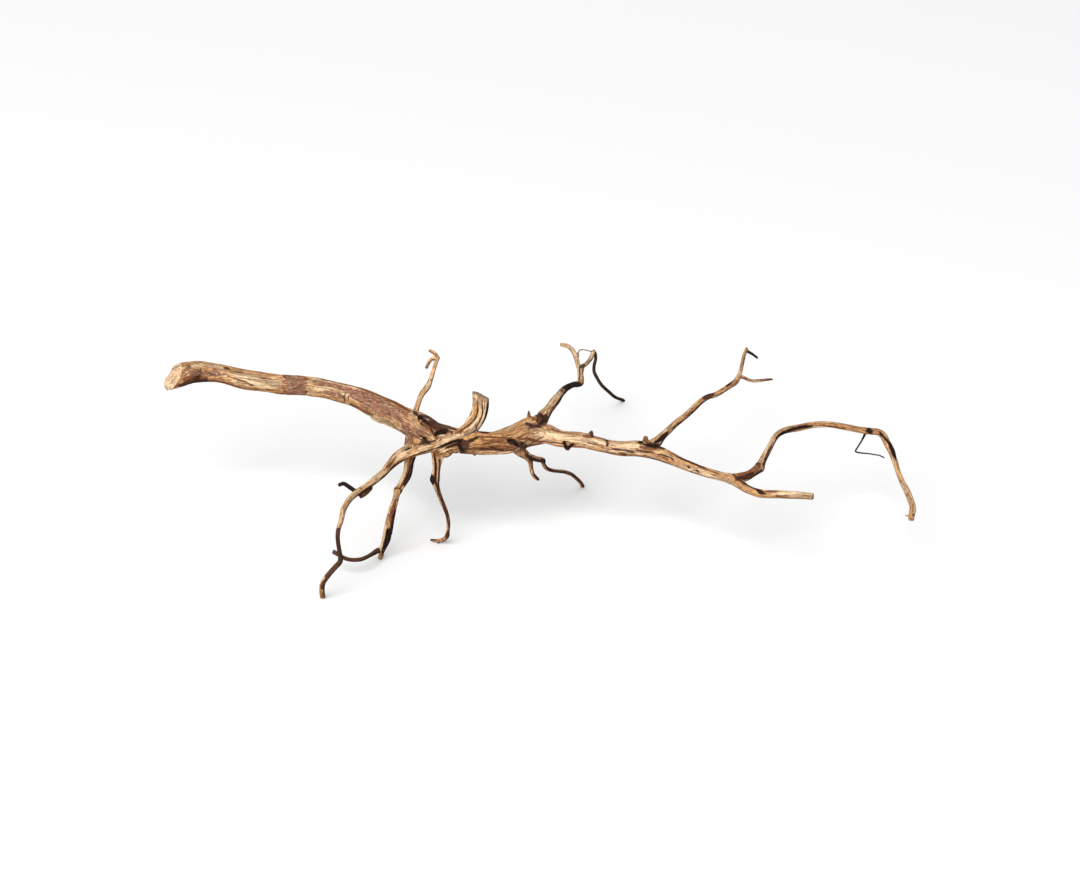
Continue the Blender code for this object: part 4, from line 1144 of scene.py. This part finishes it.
def wood_look(settings):
    """Bare wood streaked along the grain, with bleached, barky and stained places, and painted shade where it
    faces down and to the right and along its lower right edges.
    """
    material = bpy.data.materials.new("bare_wood_look")
    make = Nodes(material)
    grain = make.attribute("grain")
    place = make.add("ShaderNodeTexCoord").outputs["Object"]
    streak = make.fibres(grain, 0.05, 0.55, 5, 0.62, 0.4)
    line = make.fibres(grain, 0.05, 0.80, 4, 0.65, 0.3)
    band = make.fibres(grain, 0.02, 0.16, 3, 0.5, 0.6)
    mottle = make.noise(place, 260, 4, 0.65, 0.3)
    blotch = make.noise(place, 70, 3, 0.6)
    pore = make.fibres(grain, 0.22, 1.2, 2, 0.6)
    dash = make.fibres(grain, 0.14, 0.62, 4, 0.65, 0.8)
    fleck = make.math("MULTIPLY", make.math("ADD", dash, mottle), 0.5)

    names = ("bare", "cream", "gold", "rust", "dark", "black")
    bare, cream, gold, rust, dark, black = (tuple(getattr(settings, name)) for name in names)
    colour = make.lay(bare, cream, band, 0.44, 0.60)
    colour = make.lay(colour, gold, blotch, 0.48, 0.62, 0.7)
    ragged = make.math("ADD", make.math("MULTIPLY", line, 1.3), make.math("MULTIPLY", dash, 1.1))
    ragged = make.math("ADD", ragged, make.math("MULTIPLY", mottle, 0.9))
    ragged = make.math("SUBTRACT", ragged, 1.65)
    for finish in ("gold", "grey"):
        colour = make.finish(colour, finish, settings, ragged, line, 0.34, 0.85)
    geometry = make.add("ShaderNodeNewGeometry")
    # Painted shade: rust and then bark colour where the surface faces down and to the right.
    painted_shade = make.side(geometry, PAINTED_SHADE_WAY, streak)
    for over, source, low, high, cover in (
            (rust, painted_shade, -0.15, 0.60, 0.9), (dark, painted_shade, 0.45, 0.95, 0.85),
            (rust, streak, 0.50, 0.63, 0.75), (cream, streak, 0.46, 0.34, 0.45),
            (rust, fleck, 0.55, 0.62, 0.65)):
        colour = make.lay(colour, over, source, low, high, cover)
    colour = make.finish(colour, "cream", settings, ragged, band, 0.34, 0.82)
    colour = make.lay(colour, dark, line, 0.55, 0.66, 0.85)
    colour = make.finish(colour, "rust", settings, ragged, dash, 0.34, 0.9)
    colour = make.finish(colour, "plum", settings, ragged, mottle, 0.26)
    tick = make.ramp(make.math("ADD", dash, mottle), 0.93, 0.83)
    tick = make.math("MULTIPLY", tick, make.ramp(make.attribute("plum"), 0.4, 0.8, 0, 0.6))
    colour = make.mix(tick, colour, cream)
    colour = make.finish(colour, "dark", settings, ragged, dash, 0.30, 0.93)
    halo = make.math("ADD", make.attribute("black"), ragged)
    colour = make.lay(colour, dark, halo, -0.05, 0.5, 0.8)
    colour = make.finish(colour, "black", settings, ragged, dash, 0.20)
    # Painted shade: near-black along each limb's lower right edge.
    edge = make.math("MULTIPLY", make.side(geometry, EDGE_SHADE_WAY, streak), make.attribute("edged"))
    colour = make.lay(colour, black, edge, 0.50, 0.80, 0.92)

    rings = make.fibres(grain, 0.0, 0.45, 3, 0.6)
    sawn_colour = make.lay(SAWN_DARK, SAWN_LIGHT, rings, 0.4, 0.6)
    for finish, soft in (("cream", 0.35), ("grey", 0.3), ("dark", 0.3)):
        sawn_colour = make.finish(sawn_colour, finish, settings, ragged, mottle, soft)
    colour = make.mix(make.attribute("sawn"), colour, sawn_colour)
    colour = make.shade(colour, make.ramp(pore, 0.36, 0.64, 1.16, 0.68))
    make.link(colour, make.shader.inputs["Base Color"])
    make.link(make.ramp(line, 0.3, 0.7, 0.60, 0.85), make.shader.inputs["Roughness"])
    make.fill_in(make.shader, Specular_IOR_Level=0.04)
    bump = make.add("ShaderNodeBump")
    make.fill_in(bump, Strength=0.75, Distance=0.0008)
    height = make.math("SUBTRACT", make.math("MULTIPLY", mottle, 0.6), line)
    make.link(height, bump.inputs["Height"])
    make.link(bump.outputs["Normal"], make.shader.inputs["Normal"])
    return material


def plain_look(name, colour, roughness):
    material = bpy.data.materials.new(name)
    make = Nodes(material)
    make.fill_in(make.shader, Base_Color=(*colour, 1), Roughness=roughness, Specular_IOR_Level=0.1)
    return material


class SNAKEWOOD_OT_branch(bpy.types.Operator):
    """Model the branch as one weathered skin"""

    bl_idname = "snakewood.branch"
    bl_label = "Grow the branch"

    def execute(self, context):
        settings = context.scene.snakewood_wood
        skin = grow_skin(settings)
        grain = Grain()
        work_surface(skin, grain, settings)
        thin_out(skin, settings)
        paint(skin, grain)
        make_active(skin)
        bpy.ops.object.shade_smooth()
        skin.data.materials.clear()
        skin.data.materials.append(wood_look(settings))
        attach(skin, "root")
        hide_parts("snake_wood")
        return {"FINISHED"}


class SNAKEWOOD_OT_stage(bpy.types.Operator):
    """Lay the white floor and place the softbox and the camera"""

    bl_idname = "snakewood.stage"
    bl_label = "Set the stage"

    def execute(self, context):
        settings = context.scene.snakewood_stage
        nothing_selected()
        bpy.ops.mesh.primitive_plane_add(size=FLOOR_SIZE, location=(0, 0, 0))
        floor = context.object
        floor.name = "floor"
        tone = settings.floor_tone
        floor.data.materials.append(plain_look("white_floor", (tone, tone, tone), 0.9))
        target = (Vector(LOOK_AT) + HOME) * MM
        bpy.ops.object.light_add(type="AREA")
        softbox = context.object
        softbox.name = "softbox"
        softbox.data.shape = "DISK"
        softbox.data.size = SOFTBOX_SIZE
        softbox.data.energy = settings.key
        way = Vector(SOFTBOX_WAY).normalized()
        softbox.location = way * SOFTBOX_DISTANCE
        softbox.rotation_euler = way.to_track_quat("Z", "Y").to_euler()
        world = bpy.data.worlds.new("white_room")
        context.scene.world = world
        world.use_nodes = True
        background = world.node_tree.nodes["Background"]
        background.inputs["Color"].default_value = (1, 1, 1, 1)
        background.inputs["Strength"].default_value = settings.sky
        angle = math.radians(CAMERA_TILT)
        bpy.ops.object.camera_add(rotation=(angle, 0, 0))
        camera = context.object
        camera.location = target + CAMERA_DISTANCE * Vector((0, -math.sin(angle), math.cos(angle)))
        camera.data.lens = settings.lens
        camera.data.sensor_width = SENSOR_WIDTH
        camera.data.clip_end = VIEW_LENGTH
        context.scene.camera = camera
        context.scene.view_settings.view_transform = "Standard"
        return {"FINISHED"}


class SNAKEWOOD_PT_panel(bpy.types.Panel):
    bl_idname = "SNAKEWOOD_PT_panel"
    bl_label = "Snake wood"
    bl_space_type = "VIEW_3D"
    bl_region_type = "UI"
    bl_category = "Snake wood"

    def draw(self, context):
        for group in (context.scene.snakewood_wood, context.scene.snakewood_stage):
            for name in group.bl_rna.properties.keys():
                if name not in ("rna_type", "name"):
                    self.layout.prop(group, name)
        self.layout.operator("snakewood.branch")
        self.layout.operator("snakewood.stage")


CLASSES = (
    WoodSettings,
    StageSettings,
    SNAKEWOOD_OT_branch,
    SNAKEWOOD_OT_stage,
    SNAKEWOOD_PT_panel,
)


def register():
    for one in CLASSES:
        bpy.utils.register_class(one)
    bpy.types.Scene.snakewood_wood = bpy.props.PointerProperty(type=WoodSettings)
    bpy.types.Scene.snakewood_stage = bpy.props.PointerProperty(type=StageSettings)


def unregister():
    del bpy.types.Scene.snakewood_stage
    del bpy.types.Scene.snakewood_wood
    for one in reversed(CLASSES):
        bpy.utils.unregister_class(one)


def main():
    register()
    bpy.ops.snakewood.branch()
    bpy.ops.snakewood.stage()


if __name__ == "__main__":
    main()
